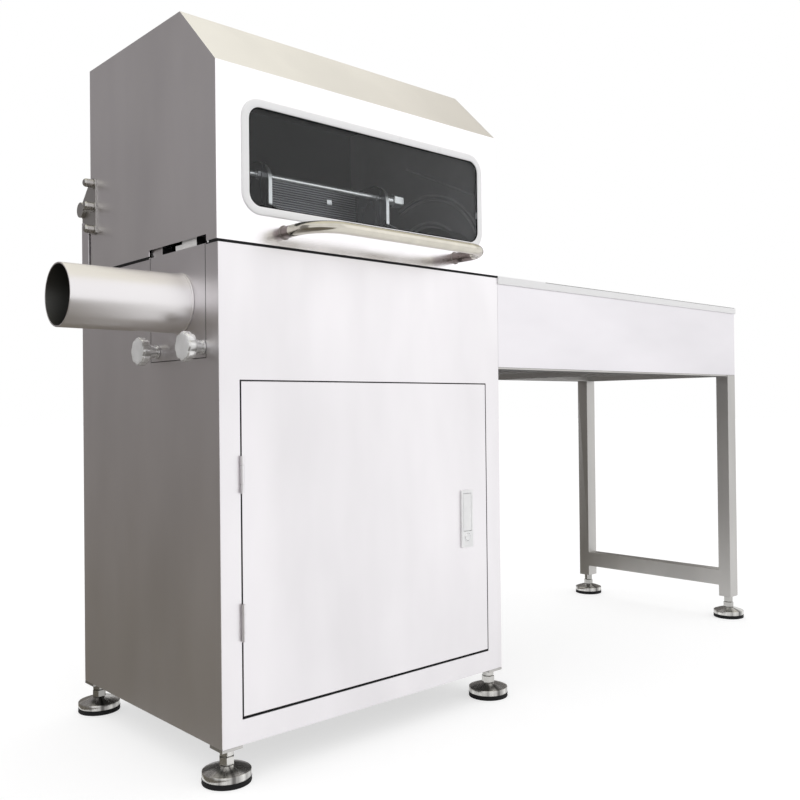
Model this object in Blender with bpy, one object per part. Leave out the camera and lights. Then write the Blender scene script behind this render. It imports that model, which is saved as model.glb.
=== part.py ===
"""Sausage stuffer: a push-type filling machine with a hooded loading chamber.

The model stands on the floor at z = 0 with +Z up. Every solid is drawn in machine
coordinates: x runs to the right from the cabinet's left face, y runs back from its
front face and z is the height above the floor. One empty then moves the whole model
so that the origin lies under the middle of its bounding box.
"""

import math

import bmesh
import bpy
from mathutils import Matrix, Vector

# Sheet metal and clearances
SHEET = 0.002
SEAT_GAP = 0.0003
RUN_GAP = 0.0006
SPLIT_GAP = 0.003

# Cabinet
CABINET_WIDTH = 0.770
CABINET_DEPTH = 0.602
CABINET_BOTTOM = 0.068
CABINET_TOP = 1.0055
RIM_WIDTH = 0.018
POST = 0.042
POST_DROP = 0.006
RAIL_INSET = 0.0005
COLUMN_DEPTH = 0.036
COLUMN_RISE = 0.1245
DECK_DROP = 0.1705
DECK_THICKNESS = 0.003
FLOOR_PAN_LIFT = 0.008

# Hood
HOOD_SETBACK = 0.004
HOOD_BEFORE_BACK = 0.049
HOOD_FRONT_HEIGHT = 0.3325
HOOD_CHAMFER = 0.130
HOOD_SHEET = 0.0016
HOOD_SWING = 72.0
NOTCH_HEIGHT = 0.0125
NOTCH_RADIUS = 0.005
NOTCH_PAST_PLATE = 0.006
NOTCH_BEFORE_PLATE = 0.004

# Hood window
GLASS_LEFT = 0.071
GLASS_RIGHT_MARGIN = 0.0655
GLASS_ABOVE_SPLIT = 0.071
GLASS_HEIGHT = 0.190
GLASS_RADIUS = 0.026
GLASS_THICKNESS = 0.005
FRAME_WIDTH = 0.0165
FRAME_THICKNESS = 0.0025

# Hood handle
HANDLE_RADIUS = 0.0125
HANDLE_STANDOFF = 0.110
HANDLE_BEND = 0.068
HANDLE_LEFT = 0.1525
HANDLE_RIGHT_MARGIN = 0.142
HANDLE_ABOVE_SPLIT = 0.028

# Hood hinge
PIVOT_BEHIND_HOOD = 0.030
PIVOT_ABOVE_COLUMN = 0.026
LUG_THICKNESS = 0.012
LUG_RADIUS = 0.0165
PIN_RADIUS = 0.006
PIN_HEAD_RADIUS = 0.0175
PIN_HEAD_THICKNESS = 0.009
EAR_THICKNESS = 0.003
EAR_HEIGHT = 0.120
EAR_ON_HOOD = 0.034
EAR_NOSE_RADIUS = 0.019

# Door
DOOR_LEFT = 0.0475
DOOR_RIGHT_MARGIN = 0.0485
DOOR_LIFT = 0.0515
DOOR_TOP_MARGIN = 0.260
DOOR_THICKNESS = 0.020
DOOR_GAP = 0.0025
DOOR_GAP_BELOW = 0.0048
HINGE_SIDE_GAP = 0.0035
DOOR_SWING = 110.0
KNUCKLE_RADIUS = 0.004
KNUCKLE_PROUD = 0.0045
KNUCKLE_LENGTH = 0.070
KNUCKLE_INSET = 0.175
LEAF_THICKNESS = 0.001
LEAF_DEPTH = 0.024
HINGE_PIN_RADIUS = 0.002

# Door lock
LOCK_WIDTH = 0.037
LOCK_HEIGHT = 0.132
LOCK_FROM_DOOR_RIGHT = 0.0505
LOCK_UNDER_DOOR_TOP = 0.2455
LOCK_PROUD = 0.004
LOCK_CASE_WALL = 0.004
LEVER_THICKNESS = 0.0035
LEVER_LENGTH = 0.086
LEVER_SWING = 35.0
BUTTON_RADIUS = 0.0085
BUTTON_ABOVE_BOTTOM = 0.024
BUTTON_TRAVEL = 0.004
BUTTON_BACK = 0.010
CAM_TIP_GAP = 0.005
CAM_WIDTH = 0.018
CAM_THICKNESS = 0.003
KEEPER_THICKNESS = 0.0045
KEEPER_REACH = 0.0235
KEEPER_HEIGHT = 0.040
KEEPER_BEVEL = 0.002

# Stuffing tube and its plate
TUBE_RADIUS = 0.058
TUBE_WALL = 0.003
TUBE_LENGTH = 0.240
TUBE_AXIS_Y = 0.146
TUBE_AXIS_DROP = 0.1055
COLLAR_RADIUS = 0.0605
COLLAR_LENGTH = 0.004
PLATE_BEFORE_AXIS = 0.1005
PLATE_WIDTH = 0.2185
PLATE_HEIGHT = 0.214
PLATE_TOP_STEP = 0.001
PLATE_THICKNESS = 0.006
PLATE_SIDE_GAP = 0.0012
TUBE_PULL = 0.120

# Knobs that hold the plate
KNOB_RADIUS = 0.0285
KNOB_THICKNESS = 0.020
KNOB_NECK = 0.0242
KNOB_NECK_RADIUS = 0.0115
KNOB_LOBES = 8
KNOB_LOBE_DEPTH = 0.0028
KNOB_SCREW_RADIUS = 0.004
KNOB_SCREW_LENGTH = 0.024
KNOB_HALF_SPACING = 0.090
KNOB_BEHIND_AXIS = 0.002
KNOB_ABOVE_PLATE_BOTTOM = 0.020

# Loading trough and its two cheeks
PORT_THICKNESS = 0.022
PORT_TOP_DROP = 0.0105
PORT_LUG_RISE = 0.0200
PORT_STEP_RISE = 0.0115
FRONT_LUG_START = 0.042
FRONT_LUG_END = 0.0985
FRONT_STEP_END = 0.125
REAR_LUG_LENGTH = 0.040
REAR_LUG_TAIL = 0.009
TROUGH_END_MARGIN = 0.170
CHEEK_THICKNESS = 0.009
LEFT_CHEEK_X = 0.188
RIGHT_CHEEK_MARGIN = 0.248
CHEEK_RISE = 0.2075
CHEEK_FRONT_REACH = 0.034
CHEEK_BACK_REACH = 0.099
CHEEK_FOOT_FRONT_REACH = 0.080
CHEEK_FOOT_BACK_REACH = 0.116
CHEEK_SHOULDER_RISE = 0.1125
CHEEK_ROUND = 0.046

# Tie rod between the cheeks
TIE_RISE = 0.1785
TIE_RADIUS = 0.006
TIE_STUB_RADIUS = 0.0055
TIE_STUB = 0.022
SMALL_NUT_RADIUS = 0.0085
SMALL_NUT = 0.009
TIE_COLLAR_RADIUS = 0.010
TIE_COLLAR = 0.035
BIG_NUT_RADIUS = 0.0155
BIG_NUT = 0.030

# Press that closes the trough
PRESS_STROKE = 0.100
PRESS_PLATE_REACH = 0.076
PRESS_PLATE_THICKNESS = 0.006
PRESS_PLATE_HEIGHT = 0.228
GROOVE_DEPTH = 0.004
SHOE_WALL = 0.004
SHOE_ARM_HEIGHT = 0.014
SHOE_SIDE_GAP = 0.0015
TONGUE_WIDTH = 0.060
TONGUE_LENGTH = 0.235
PRESS_LUG_THICKNESS = 0.012
PRESS_CYLINDER_REACH = 0.116
PRESS_CYLINDER_RADIUS = 0.022
PRESS_CYLINDER_WALL = 0.004
PRESS_CYLINDER_LENGTH = 0.190
PRESS_ROD_RADIUS = 0.006

# Ram and its drive cylinder
RAM_HEAD_LENGTH = 0.050
RAM_HEAD_CLEARANCE = 0.0009
RAM_HEAD_MARGIN = 0.222
RAM_STOP = 0.013
RAM_ROD_RADIUS = 0.0125
PISTON_LENGTH = 0.030
GUARD_MARGIN = 0.070
GUARD_REACH = 0.029
GUARD_SPRING_DROP = 0.0155
GUARD_RADIUS = 0.150
GUARD_RIM = 0.012
BARREL_RADIUS = 0.0525
BARREL_WALL = 0.004
BARREL_LENGTH = 0.700
HEAD_SIZE = 0.118
FRONT_HEAD_LENGTH = 0.042
REAR_HEAD_LENGTH = 0.036

# Table box
TABLE_LENGTH = 1.1637
TABLE_BEFORE_BACK = 0.008
APRON_DROP = 0.0175
APRON_HEIGHT = 0.200
TOP_ABOVE_CABINET = 0.0015
TOP_OVERHANG = 0.0035
LEG_X = 0.047
LEG_Y = 0.041
RAIL = 0.040
RAIL_DROP = 0.005
CROSS_BAR_BOTTOM = 0.103
CROSS_BAR_HEIGHT = 0.050
CRADLE_FROM_CABINET = (0.230, 0.630)
CRADLE_PLATE = 0.006
CRADLE_THICKNESS = 0.020

# Levelling feet
PAD_RADIUS = 0.047
PAD_HEIGHT = 0.0105
RIM_RADIUS = 0.0450
RIM_HEIGHT = 0.0105
DOME_HEIGHT = 0.0145
DOME_TOP_RADIUS = 0.0150
STEM_RADIUS = 0.008
HEX_RADIUS = 0.0139
HEX_HEIGHT = 0.0155
STEM_INSERT = 0.020
STEM_SOCKET = 0.008

# Valve block in the lower bay
VALVE_LEFT = 0.120
VALVE_WIDTH = 0.180
VALVE_HEIGHT = 0.090
VALVE_DEPTH = 0.060
VALVE_DROP = 0.275

# Facet counts
BORE_SIDES = 36
ROUND_SIDES = 24
FOOT_SIDES = 24
SMALL_SIDES = 12
KNOB_STEPS = 4

# Places worked out from the sizes above
BORE_RADIUS = TUBE_RADIUS - TUBE_WALL
COLUMN_TOP = CABINET_TOP + COLUMN_RISE
DECK_UNDERSIDE = CABINET_TOP - DECK_DROP
TUBE_AXIS_Z = CABINET_TOP - TUBE_AXIS_DROP
HOOD_BOTTOM = CABINET_TOP + SPLIT_GAP
HOOD_REAR = CABINET_DEPTH - HOOD_BEFORE_BACK
HOOD_SHOULDER = HOOD_BOTTOM + HOOD_FRONT_HEIGHT
HOOD_TOP = HOOD_SHOULDER + HOOD_CHAMFER
PIVOT_Y = HOOD_REAR + PIVOT_BEHIND_HOOD
PIVOT_Z = COLUMN_TOP + PIVOT_ABOVE_COLUMN
COLUMN_FRONT = CABINET_DEPTH - COLUMN_DEPTH
DECK_TOP = DECK_UNDERSIDE + SEAT_GAP + DECK_THICKNESS
GLASS_RIGHT = CABINET_WIDTH - GLASS_RIGHT_MARGIN
HANDLE_RIGHT = CABINET_WIDTH - HANDLE_RIGHT_MARGIN
DOOR_RIGHT = CABINET_WIDTH - DOOR_RIGHT_MARGIN
DOOR_BOTTOM = CABINET_BOTTOM + DOOR_LIFT
DOOR_TOP = CABINET_TOP - DOOR_TOP_MARGIN
HINGE_OPENING = DOOR_LEFT - HINGE_SIDE_GAP
HINGE_X = HINGE_OPENING + 0.0018
HINGE_Y = -KNUCKLE_PROUD
LOCK_RIGHT = DOOR_RIGHT - LOCK_FROM_DOOR_RIGHT
LOCK_LEFT = LOCK_RIGHT - LOCK_WIDTH
LOCK_X = (LOCK_LEFT + LOCK_RIGHT) / 2
LOCK_TOP = DOOR_TOP - LOCK_UNDER_DOOR_TOP
LOCK_BOTTOM = LOCK_TOP - LOCK_HEIGHT
LEVER_TOP = LOCK_TOP - 0.008
BUTTON_Z = LOCK_BOTTOM + BUTTON_ABOVE_BOTTOM
RIGHT_POST_X = CABINET_WIDTH - SHEET - SEAT_GAP - POST
CAM_LENGTH = RIGHT_POST_X - CAM_TIP_GAP - LOCK_X
KEEPER_FRONT = DOOR_THICKNESS + RUN_GAP
KEEPER_BACK = KEEPER_FRONT + KEEPER_THICKNESS
PLATE_FRONT = TUBE_AXIS_Y - PLATE_BEFORE_AXIS
PLATE_BACK = PLATE_FRONT + PLATE_WIDTH
PLATE_TOP = CABINET_TOP - PLATE_TOP_STEP
PLATE_BOTTOM = PLATE_TOP - PLATE_HEIGHT
PORT_TOP = CABINET_TOP - PORT_TOP_DROP
PORT_LUG_TOP = CABINET_TOP + PORT_LUG_RISE
PORT_LEFT = PLATE_THICKNESS + SEAT_GAP
PORT_RIGHT = PORT_LEFT + PORT_THICKNESS
TROUGH_START = PORT_RIGHT + SEAT_GAP
TROUGH_END = CABINET_WIDTH - TROUGH_END_MARGIN
RIGHT_CHEEK_X = CABINET_WIDTH - RIGHT_CHEEK_MARGIN - CHEEK_THICKNESS
CHEEK_TOP = CABINET_TOP + CHEEK_RISE
CHEEK_SHOULDER = CABINET_TOP + CHEEK_SHOULDER_RISE
CHEEK_FRONT = TUBE_AXIS_Y - CHEEK_FRONT_REACH
CHEEK_BACK = TUBE_AXIS_Y + CHEEK_BACK_REACH
CHEEK_FOOT_FRONT = TUBE_AXIS_Y - CHEEK_FOOT_FRONT_REACH
CHEEK_FOOT_BACK = TUBE_AXIS_Y + CHEEK_FOOT_BACK_REACH
TIE_Y = TUBE_AXIS_Y
TIE_Z = CABINET_TOP + TIE_RISE
CHAMBER_LEFT = LEFT_CHEEK_X + CHEEK_THICKNESS
CHAMBER_RIGHT = RIGHT_CHEEK_X
CHAMBER_MIDDLE = (CHAMBER_LEFT + CHAMBER_RIGHT) / 2
SHOE_BOTTOM = TUBE_AXIS_Z + PRESS_STROKE + RUN_GAP
PRESS_PLATE_Y = TUBE_AXIS_Y + PRESS_PLATE_REACH
PRESS_PLATE_TOP = TIE_Z - TIE_RADIUS - 0.006
PRESS_PLATE_BOTTOM = PRESS_PLATE_TOP - PRESS_PLATE_HEIGHT
PRESS_CYLINDER_Y = TUBE_AXIS_Y + PRESS_CYLINDER_REACH
TONGUE_BOTTOM = DECK_UNDERSIDE - TONGUE_LENGTH
RAM_HEAD_START = CABINET_WIDTH - RAM_HEAD_MARGIN
RAM_STROKE = RAM_HEAD_START - RAM_STOP
GUARD_LEFT = CABINET_WIDTH - GUARD_MARGIN
GUARD_Y = TUBE_AXIS_Y + GUARD_REACH
GUARD_SPRING_Z = CABINET_TOP - GUARD_SPRING_DROP
KNOB_Z = PLATE_BOTTOM + KNOB_ABOVE_PLATE_BOTTOM
KNOB_CENTRE_Y = TUBE_AXIS_Y + KNOB_BEHIND_AXIS
KNOB_YS = {"front": KNOB_CENTRE_Y - KNOB_HALF_SPACING, "rear": KNOB_CENTRE_Y + KNOB_HALF_SPACING}
VALVE_BOTTOM = DECK_UNDERSIDE - VALVE_DROP
TABLE_LEFT = CABINET_WIDTH + SEAT_GAP
TABLE_RIGHT = CABINET_WIDTH + TABLE_LENGTH
TABLE_DEPTH = CABINET_DEPTH - TABLE_BEFORE_BACK
APRON_TOP = CABINET_TOP - APRON_DROP
APRON_BOTTOM = APRON_TOP - APRON_HEIGHT
BARREL_LEFT = TABLE_LEFT + FRONT_HEAD_LENGTH + SEAT_GAP
BARREL_RIGHT = BARREL_LEFT + BARREL_LENGTH
RAIL_BOTTOM = APRON_BOTTOM - RAIL_DROP
RAIL_TOP = RAIL_BOTTOM + RAIL
POST_BOTTOM = CABINET_BOTTOM - POST_DROP
POST_CENTRE = SHEET + SEAT_GAP + POST / 2
LEG_CENTRE_X = TABLE_RIGHT - LEG_X / 2
SOCKET_TOP = PAD_HEIGHT + SEAT_GAP + RIM_HEIGHT + DOME_HEIGHT

FOOT_PLACES = {
    "front_left": (POST_CENTRE, POST_CENTRE),
    "front_right": (CABINET_WIDTH - POST_CENTRE, POST_CENTRE),
    "rear_left": (POST_CENTRE, CABINET_DEPTH - POST_CENTRE),
    "rear_right": (CABINET_WIDTH - POST_CENTRE, CABINET_DEPTH - POST_CENTRE),
    "table_front": (LEG_CENTRE_X, LEG_Y / 2),
    "table_rear": (LEG_CENTRE_X, TABLE_DEPTH - LEG_Y / 2),
}
FOOT_HOLDERS = {name: CABINET_BOTTOM if name.startswith("table") else POST_BOTTOM for name in FOOT_PLACES}

PAD_REACH = PAD_RADIUS * math.cos(math.pi / FOOT_SIDES)
MODEL_LEFT = -TUBE_LENGTH
MODEL_RIGHT = LEG_CENTRE_X + PAD_REACH
MODEL_FRONT = HOOD_SETBACK - HANDLE_STANDOFF - HANDLE_RADIUS
MODEL_BACK = CABINET_DEPTH - POST_CENTRE + PAD_REACH
MACHINE_ORIGIN = Vector((-(MODEL_LEFT + MODEL_RIGHT) / 2, -(MODEL_FRONT + MODEL_BACK) / 2, 0.0))

# Joint axes, as points in machine coordinates
PIVOTS = {
    "machine": Vector((0, 0, 0)),
    "hood": Vector((CABINET_WIDTH / 2, PIVOT_Y, PIVOT_Z)),
    "door": Vector((HINGE_X, HINGE_Y, (DOOR_BOTTOM + DOOR_TOP) / 2)),
    "lever": Vector((LOCK_X, -LOCK_PROUD / 2, LEVER_TOP - LEVER_THICKNESS)),
    "button": Vector((LOCK_X, -LOCK_PROUD, BUTTON_Z)),
    "cam": Vector((LOCK_X, DOOR_THICKNESS, BUTTON_Z)),
    "tube": Vector((0, TUBE_AXIS_Y, TUBE_AXIS_Z)),
    "front_knob": Vector((0, KNOB_YS["front"], KNOB_Z)),
    "rear_knob": Vector((0, KNOB_YS["rear"], KNOB_Z)),
    "press": Vector((CHAMBER_MIDDLE, PRESS_PLATE_Y, PRESS_PLATE_BOTTOM)),
    "ram": Vector((RAM_HEAD_START, TUBE_AXIS_Y, TUBE_AXIS_Z)),
}
CARRIERS = {
    "lever": "door",
    "button": "door",
    "cam": "door",
    "front_knob": "tube",
    "rear_knob": "tube",
}

# Colour, metallic value, roughness and alpha of each material
FINISHES = {
    "cabinet_steel": ((0.62, 0.61, 0.60), 0.85, 0.42, 1.0),
    "hood_steel": ((0.63, 0.62, 0.61), 0.85, 0.40, 1.0),
    "frame_steel": ((0.55, 0.54, 0.52), 0.85, 0.45, 1.0),
    "tube_steel": ((0.66, 0.65, 0.62), 0.90, 0.35, 1.0),
    "polished_steel": ((0.78, 0.77, 0.73), 1.0, 0.14, 1.0),
    "chamber_steel": ((0.58, 0.58, 0.58), 0.90, 0.30, 1.0),
    "white_trim": ((0.86, 0.86, 0.88), 0.0, 0.40, 1.0),
    "lock_silver": ((0.80, 0.80, 0.82), 0.60, 0.32, 1.0),
    "dark_plastic": ((0.03, 0.03, 0.032), 0.0, 0.45, 1.0),
    "ram_plastic": ((0.88, 0.88, 0.86), 0.0, 0.42, 1.0),
    "drive_aluminium": ((0.70, 0.71, 0.72), 0.90, 0.38, 1.0),
    "window_glass": ((0.25, 0.26, 0.27), 0.0, 0.05, 0.35),
    "foot_rubber": ((0.02, 0.02, 0.02), 0.0, 0.80, 1.0),
}


def material(finish):
    """Return the Principled BSDF material of a finish, made once."""
    if finish in bpy.data.materials:
        return bpy.data.materials[finish]
    colour, metallic, roughness, alpha = FINISHES[finish]
    made = bpy.data.materials.new(finish)
    made.use_nodes = True
    shader = made.node_tree.nodes["Principled BSDF"]
    shader.inputs["Base Color"].default_value = (*colour, 1.0)
    shader.inputs["Metallic"].default_value = metallic
    shader.inputs["Roughness"].default_value = roughness
    shader.inputs["Alpha"].default_value = alpha
    made.diffuse_color = (*colour, alpha)
    return made


def solid_from(mesh_builder):
    """Wrap a bmesh in an object, with its faces turned outwards."""
    bmesh.ops.recalc_face_normals(mesh_builder, faces=mesh_builder.faces)
    mesh = bpy.data.meshes.new("solid")
    mesh_builder.to_mesh(mesh)
    mesh_builder.free()
    made = bpy.data.objects.new("solid", mesh)
    bpy.context.scene.collection.objects.link(made)
    return made


def box(low, high):
    """A block between two corners."""
    builder = bmesh.new()
    size = Vector(high) - Vector(low)
    middle = (Vector(high) + Vector(low)) / 2
    bmesh.ops.create_cube(builder, size=1.0, matrix=Matrix.Translation(middle) @ Matrix.Diagonal((*size, 1.0)))
    return solid_from(builder)


def prism(points, axis, start, end):
    """An outline drawn across an axis and pushed along it.

    The outline's points are (y, z) for the x axis, (x, z) for y and (x, y) for z.
    """
    def place(point, along):
        if axis == "x":
            return (along, point[0], point[1])
        if axis == "y":
            return (point[0], along, point[1])
        return (point[0], point[1], along)

    builder = bmesh.new()
    face = builder.faces.new([builder.verts.new(place(point, start)) for point in points])
    pushed = bmesh.ops.extrude_face_region(builder, geom=[face])
    corners = [item for item in pushed["geom"] if isinstance(item, bmesh.types.BMVert)]
    push = Vector(place((0, 0), end)) - Vector(place((0, 0), start))
    bmesh.ops.translate(builder, verts=corners, vec=push)
    return solid_from(builder)


def turned(profile, centre, axis, sides=ROUND_SIDES, closed_ring=False):
    """A profile of (distance along the axis, radius) pairs turned round an axis.

    A profile whose ends lie on the axis makes a closed solid. A closed ring joins its
    last point to its first, and leaves a bore.
    """
    builder = bmesh.new()
    turn = {"x": Matrix.Rotation(math.pi / 2, 3, "Y"), "y": Matrix.Rotation(-math.pi / 2, 3, "X")}
    frame = turn.get(axis, Matrix.Identity(3))
    rings = []
    for along, radius in profile:
        if radius == 0:
            rings.append([builder.verts.new(Vector(centre) + frame @ Vector((0, 0, along)))])
            continue
        ring = []
        for step in range(sides):
            angle = 2 * math.pi * (step + 0.5) / sides
            offset = Vector((radius * math.cos(angle), radius * math.sin(angle), along))
            ring.append(builder.verts.new(Vector(centre) + frame @ offset))
        rings.append(ring)
    pairs = list(zip(rings, rings[1:]))
    if closed_ring:
        pairs.append((rings[-1], rings[0]))
    for first, second in pairs:
        for step in range(sides):
            following = (step + 1) % sides
            corners = [
                first[step % len(first)],
                first[following % len(first)],
                second[following % len(second)],
                second[step % len(second)],
            ]
            unique = list(dict.fromkeys(corners))
            if len(unique) > 2:
                builder.faces.new(unique)
    return solid_from(builder)


def rod(start, end, radius, sides=SMALL_SIDES):
    """A plain round bar between two points that differ along one axis only."""
    run = Vector(end) - Vector(start)
    axis = "xyz"[max(range(3), key=lambda index: abs(run[index]))]
    length = sum(run)
    low = start if length > 0 else end
    return turned([(0, 0), (0, radius), (abs(length), radius), (abs(length), 0)], low, axis, sides)


def sleeve(start, length, axis, outer, inner, sides=ROUND_SIDES):
    """A round tube with a straight bore."""
    profile = [(0, inner), (0, outer), (length, outer), (length, inner)]
    return turned(profile, start, axis, sides, closed_ring=True)


def rounded_rectangle(low, high, radius, steps=5):
    """The outline of a rectangle with round corners, counter-clockwise."""
    centres = (
        (high[0] - radius, high[1] - radius, 0.0),
        (low[0] + radius, high[1] - radius, 0.5),
        (low[0] + radius, low[1] + radius, 1.0),
        (high[0] - radius, low[1] + radius, 1.5),
    )
    points = []
    for across, up, quarter in centres:
        for step in range(steps + 1):
            angle = math.pi * (quarter + 0.5 * step / steps)
            points.append((across + radius * math.cos(angle), up + radius * math.sin(angle)))
    return points


def arc(centre, radius, start, end, steps):
    """Points along an arc, with its angles in degrees."""
    points = []
    for step in range(steps + 1):
        angle = math.radians(start + (end - start) * step / steps)
        points.append((centre[0] + radius * math.cos(angle), centre[1] + radius * math.sin(angle)))
    return points


def combine(body, tools, operation):
    """Apply one exact Boolean per tool to the body and delete the tools."""
    for tool in tools:
        modifier = body.modifiers.new(operation.lower(), "BOOLEAN")
        modifier.operation = operation
        modifier.solver = "EXACT"
        modifier.object = tool
        graph = bpy.context.evaluated_depsgraph_get()
        result = bpy.data.meshes.new_from_object(body.evaluated_get(graph))
        body.modifiers.clear()
        body.data = result
        bpy.data.objects.remove(tool)
    return body


def fuse(body, *tools):
    """Join solids to the body."""
    return combine(body, tools, "UNION")


def cut(body, *tools):
    """Cut solids out of the body."""
    return combine(body, tools, "DIFFERENCE")


def group(name):
    """The empty on a joint's axis that carries the pieces of one moving body."""
    label = name + "_axis"
    if label in bpy.data.objects:
        return bpy.data.objects[label]
    empty = bpy.data.objects.new(label, None)
    empty.empty_display_size = 0.05
    bpy.context.scene.collection.objects.link(empty)
    if name == "machine":
        empty.location = MACHINE_ORIGIN
        return empty
    carrier_name = CARRIERS.get(name, "machine")
    empty.parent = group(carrier_name)
    empty.location = PIVOTS[name] - PIVOTS[carrier_name]
    return empty


def keep(piece, name, finish, body="machine", origin=None, smooth_below=0.0):
    """Name a finished solid, give it its material and hang it on its body's empty."""
    piece.name = name
    piece.data.name = name
    piece.data.materials.clear()
    piece.data.materials.append(material(finish))
    if smooth_below:
        piece.data.shade_smooth()
        piece.data.set_sharp_from_angle(angle=math.radians(smooth_below))
    else:
        piece.data.shade_flat()
    pivot = PIVOTS[body] if origin is None else Vector(origin)
    piece.data.transform(Matrix.Translation(-pivot))
    piece.parent = group(body)
    piece.location = pivot - PIVOTS[body]
    return piece


def plate_opening(depth, gap=PLATE_SIDE_GAP):
    """The cutter that makes room for the tube plate, open at the top."""
    low = (-1.0, PLATE_FRONT - gap, PLATE_BOTTOM - gap)
    return box(low, (depth, PLATE_BACK + gap, CABINET_TOP + 1.0))


def cabinet_shell():
    """The folded sheet skin, with its rear column, door opening and tube port."""
    outline = [
        (0, CABINET_BOTTOM),
        (CABINET_DEPTH, CABINET_BOTTOM),
        (CABINET_DEPTH, COLUMN_TOP),
        (COLUMN_FRONT, COLUMN_TOP),
        (COLUMN_FRONT, CABINET_TOP),
        (0, CABINET_TOP),
    ]
    hollow = [
        (SHEET, CABINET_BOTTOM - 1.0),
        (CABINET_DEPTH - SHEET, CABINET_BOTTOM - 1.0),
        (CABINET_DEPTH - SHEET, COLUMN_TOP - SHEET),
        (COLUMN_FRONT + SHEET, COLUMN_TOP - SHEET),
        (COLUMN_FRONT + SHEET, CABINET_TOP - SHEET),
        (SHEET, CABINET_TOP - SHEET),
    ]
    shell = prism(outline, "x", 0, CABINET_WIDTH)
    cut(shell, prism(hollow, "x", SHEET, CABINET_WIDTH - SHEET))
    top_low = (RIM_WIDTH, RIM_WIDTH, CABINET_TOP - 2 * SHEET)
    top_high = (CABINET_WIDTH - RIM_WIDTH, COLUMN_FRONT - RIM_WIDTH, CABINET_TOP + SHEET)
    door_low = (HINGE_OPENING, -SHEET, DOOR_BOTTOM - DOOR_GAP_BELOW)
    door_high = (DOOR_RIGHT + DOOR_GAP, 2 * SHEET, DOOR_TOP + DOOR_GAP)
    ram_start = (CABINET_WIDTH - 2 * SHEET, TUBE_AXIS_Y, TUBE_AXIS_Z)
    ram_end = (CABINET_WIDTH + SHEET, TUBE_AXIS_Y, TUBE_AXIS_Z)
    ram_port = rod(ram_start, ram_end, 2 * RAM_ROD_RADIUS, ROUND_SIDES)
    cut(shell, box(top_low, top_high), box(door_low, door_high), plate_opening(2 * RIM_WIDTH), ram_port)
    return keep(shell, "cabinet_shell", "cabinet_steel")


def cabinet_frame():
    """The welded inner frame: four posts, two rings of rails and the floor pan."""
    near = SHEET + SEAT_GAP
    right = CABINET_WIDTH - near
    back = CABINET_DEPTH - near
    posts = [(near, near), (right - POST, near), (near, back - POST), (right - POST, back - POST)]
    frame = None
    for x, y in posts:
        post = box((x, y, POST_BOTTOM), (x + POST, y + POST, DECK_UNDERSIDE - RAIL_INSET))
        frame = fuse(frame, post) if frame else post
    for x, y in posts:
        cap_x = 0 if x == near else x
        cap_y = 0 if y == near else y
        cap_high = (cap_x + POST + near, cap_y + POST + near, CABINET_BOTTOM - SEAT_GAP)
        fuse(frame, box((cap_x, cap_y, POST_BOTTOM), cap_high))
    rail = POST - 2 * RAIL_INSET
    rail_near = near + RAIL_INSET
    rail_right = right - RAIL_INSET
    rail_back = back - RAIL_INSET
    inside = near + POST / 3
    for bottom in (CABINET_BOTTOM, DECK_UNDERSIDE - POST):
        top = bottom + POST
        rails = (
            box((inside, rail_near, bottom), (CABINET_WIDTH - inside, rail_near + rail, top)),
            box((inside, rail_back - rail, bottom), (CABINET_WIDTH - inside, rail_back, top)),
            box((rail_near, inside, bottom), (rail_near + rail, CABINET_DEPTH - inside, top)),
            box((rail_right - rail, inside, bottom), (rail_right, CABINET_DEPTH - inside, top)),
        )
        fuse(frame, *rails)
    pan = CABINET_BOTTOM + FLOOR_PAN_LIFT
    fuse(frame, box((near + POST / 2, near + POST / 2, pan), (right - POST / 2, back - POST / 2, pan + SHEET)))
    cut(frame, plate_opening(PLATE_THICKNESS + SEAT_GAP))
    for y in KNOB_YS.values():
        screw_end = PLATE_THICKNESS + KNOB_SCREW_LENGTH
        cut(frame, rod((0, y, KNOB_Z), (screw_end, y, KNOB_Z), KNOB_SCREW_RADIUS + RUN_GAP))
    for name in ("front_left", "front_right", "rear_left", "rear_right"):
        cut(frame, stem_hole(name))
    return keep(frame, "cabinet_frame", "frame_steel")


def stem_hole(foot):
    """The hole that takes the top of a foot's stem."""
    x, y = FOOT_PLACES[foot]
    bottom = FOOT_HOLDERS[foot]
    return rod((x, y, bottom - 0.01), (x, y, bottom + STEM_INSERT + 0.002), STEM_RADIUS + RUN_GAP)


def deck_plate():
    """The flat deck under the trough, with the slot for the press tongue."""
    near = SHEET + SEAT_GAP
    low = (near, near, DECK_UNDERSIDE + SEAT_GAP)
    deck = box(low, (CABINET_WIDTH - near, CABINET_DEPTH - near, DECK_TOP))
    half = TONGUE_WIDTH / 2 + 0.003
    slot_low = (CHAMBER_MIDDLE - half, PRESS_PLATE_Y - 0.002, DECK_UNDERSIDE - 0.01)
    slot_high = (CHAMBER_MIDDLE + half, PRESS_PLATE_Y + PRESS_PLATE_THICKNESS + 0.002, DECK_TOP + 0.01)
    cut(deck, plate_opening(PLATE_THICKNESS + SEAT_GAP), box(slot_low, slot_high))
    return keep(deck, "deck_plate", "chamber_steel")


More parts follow.
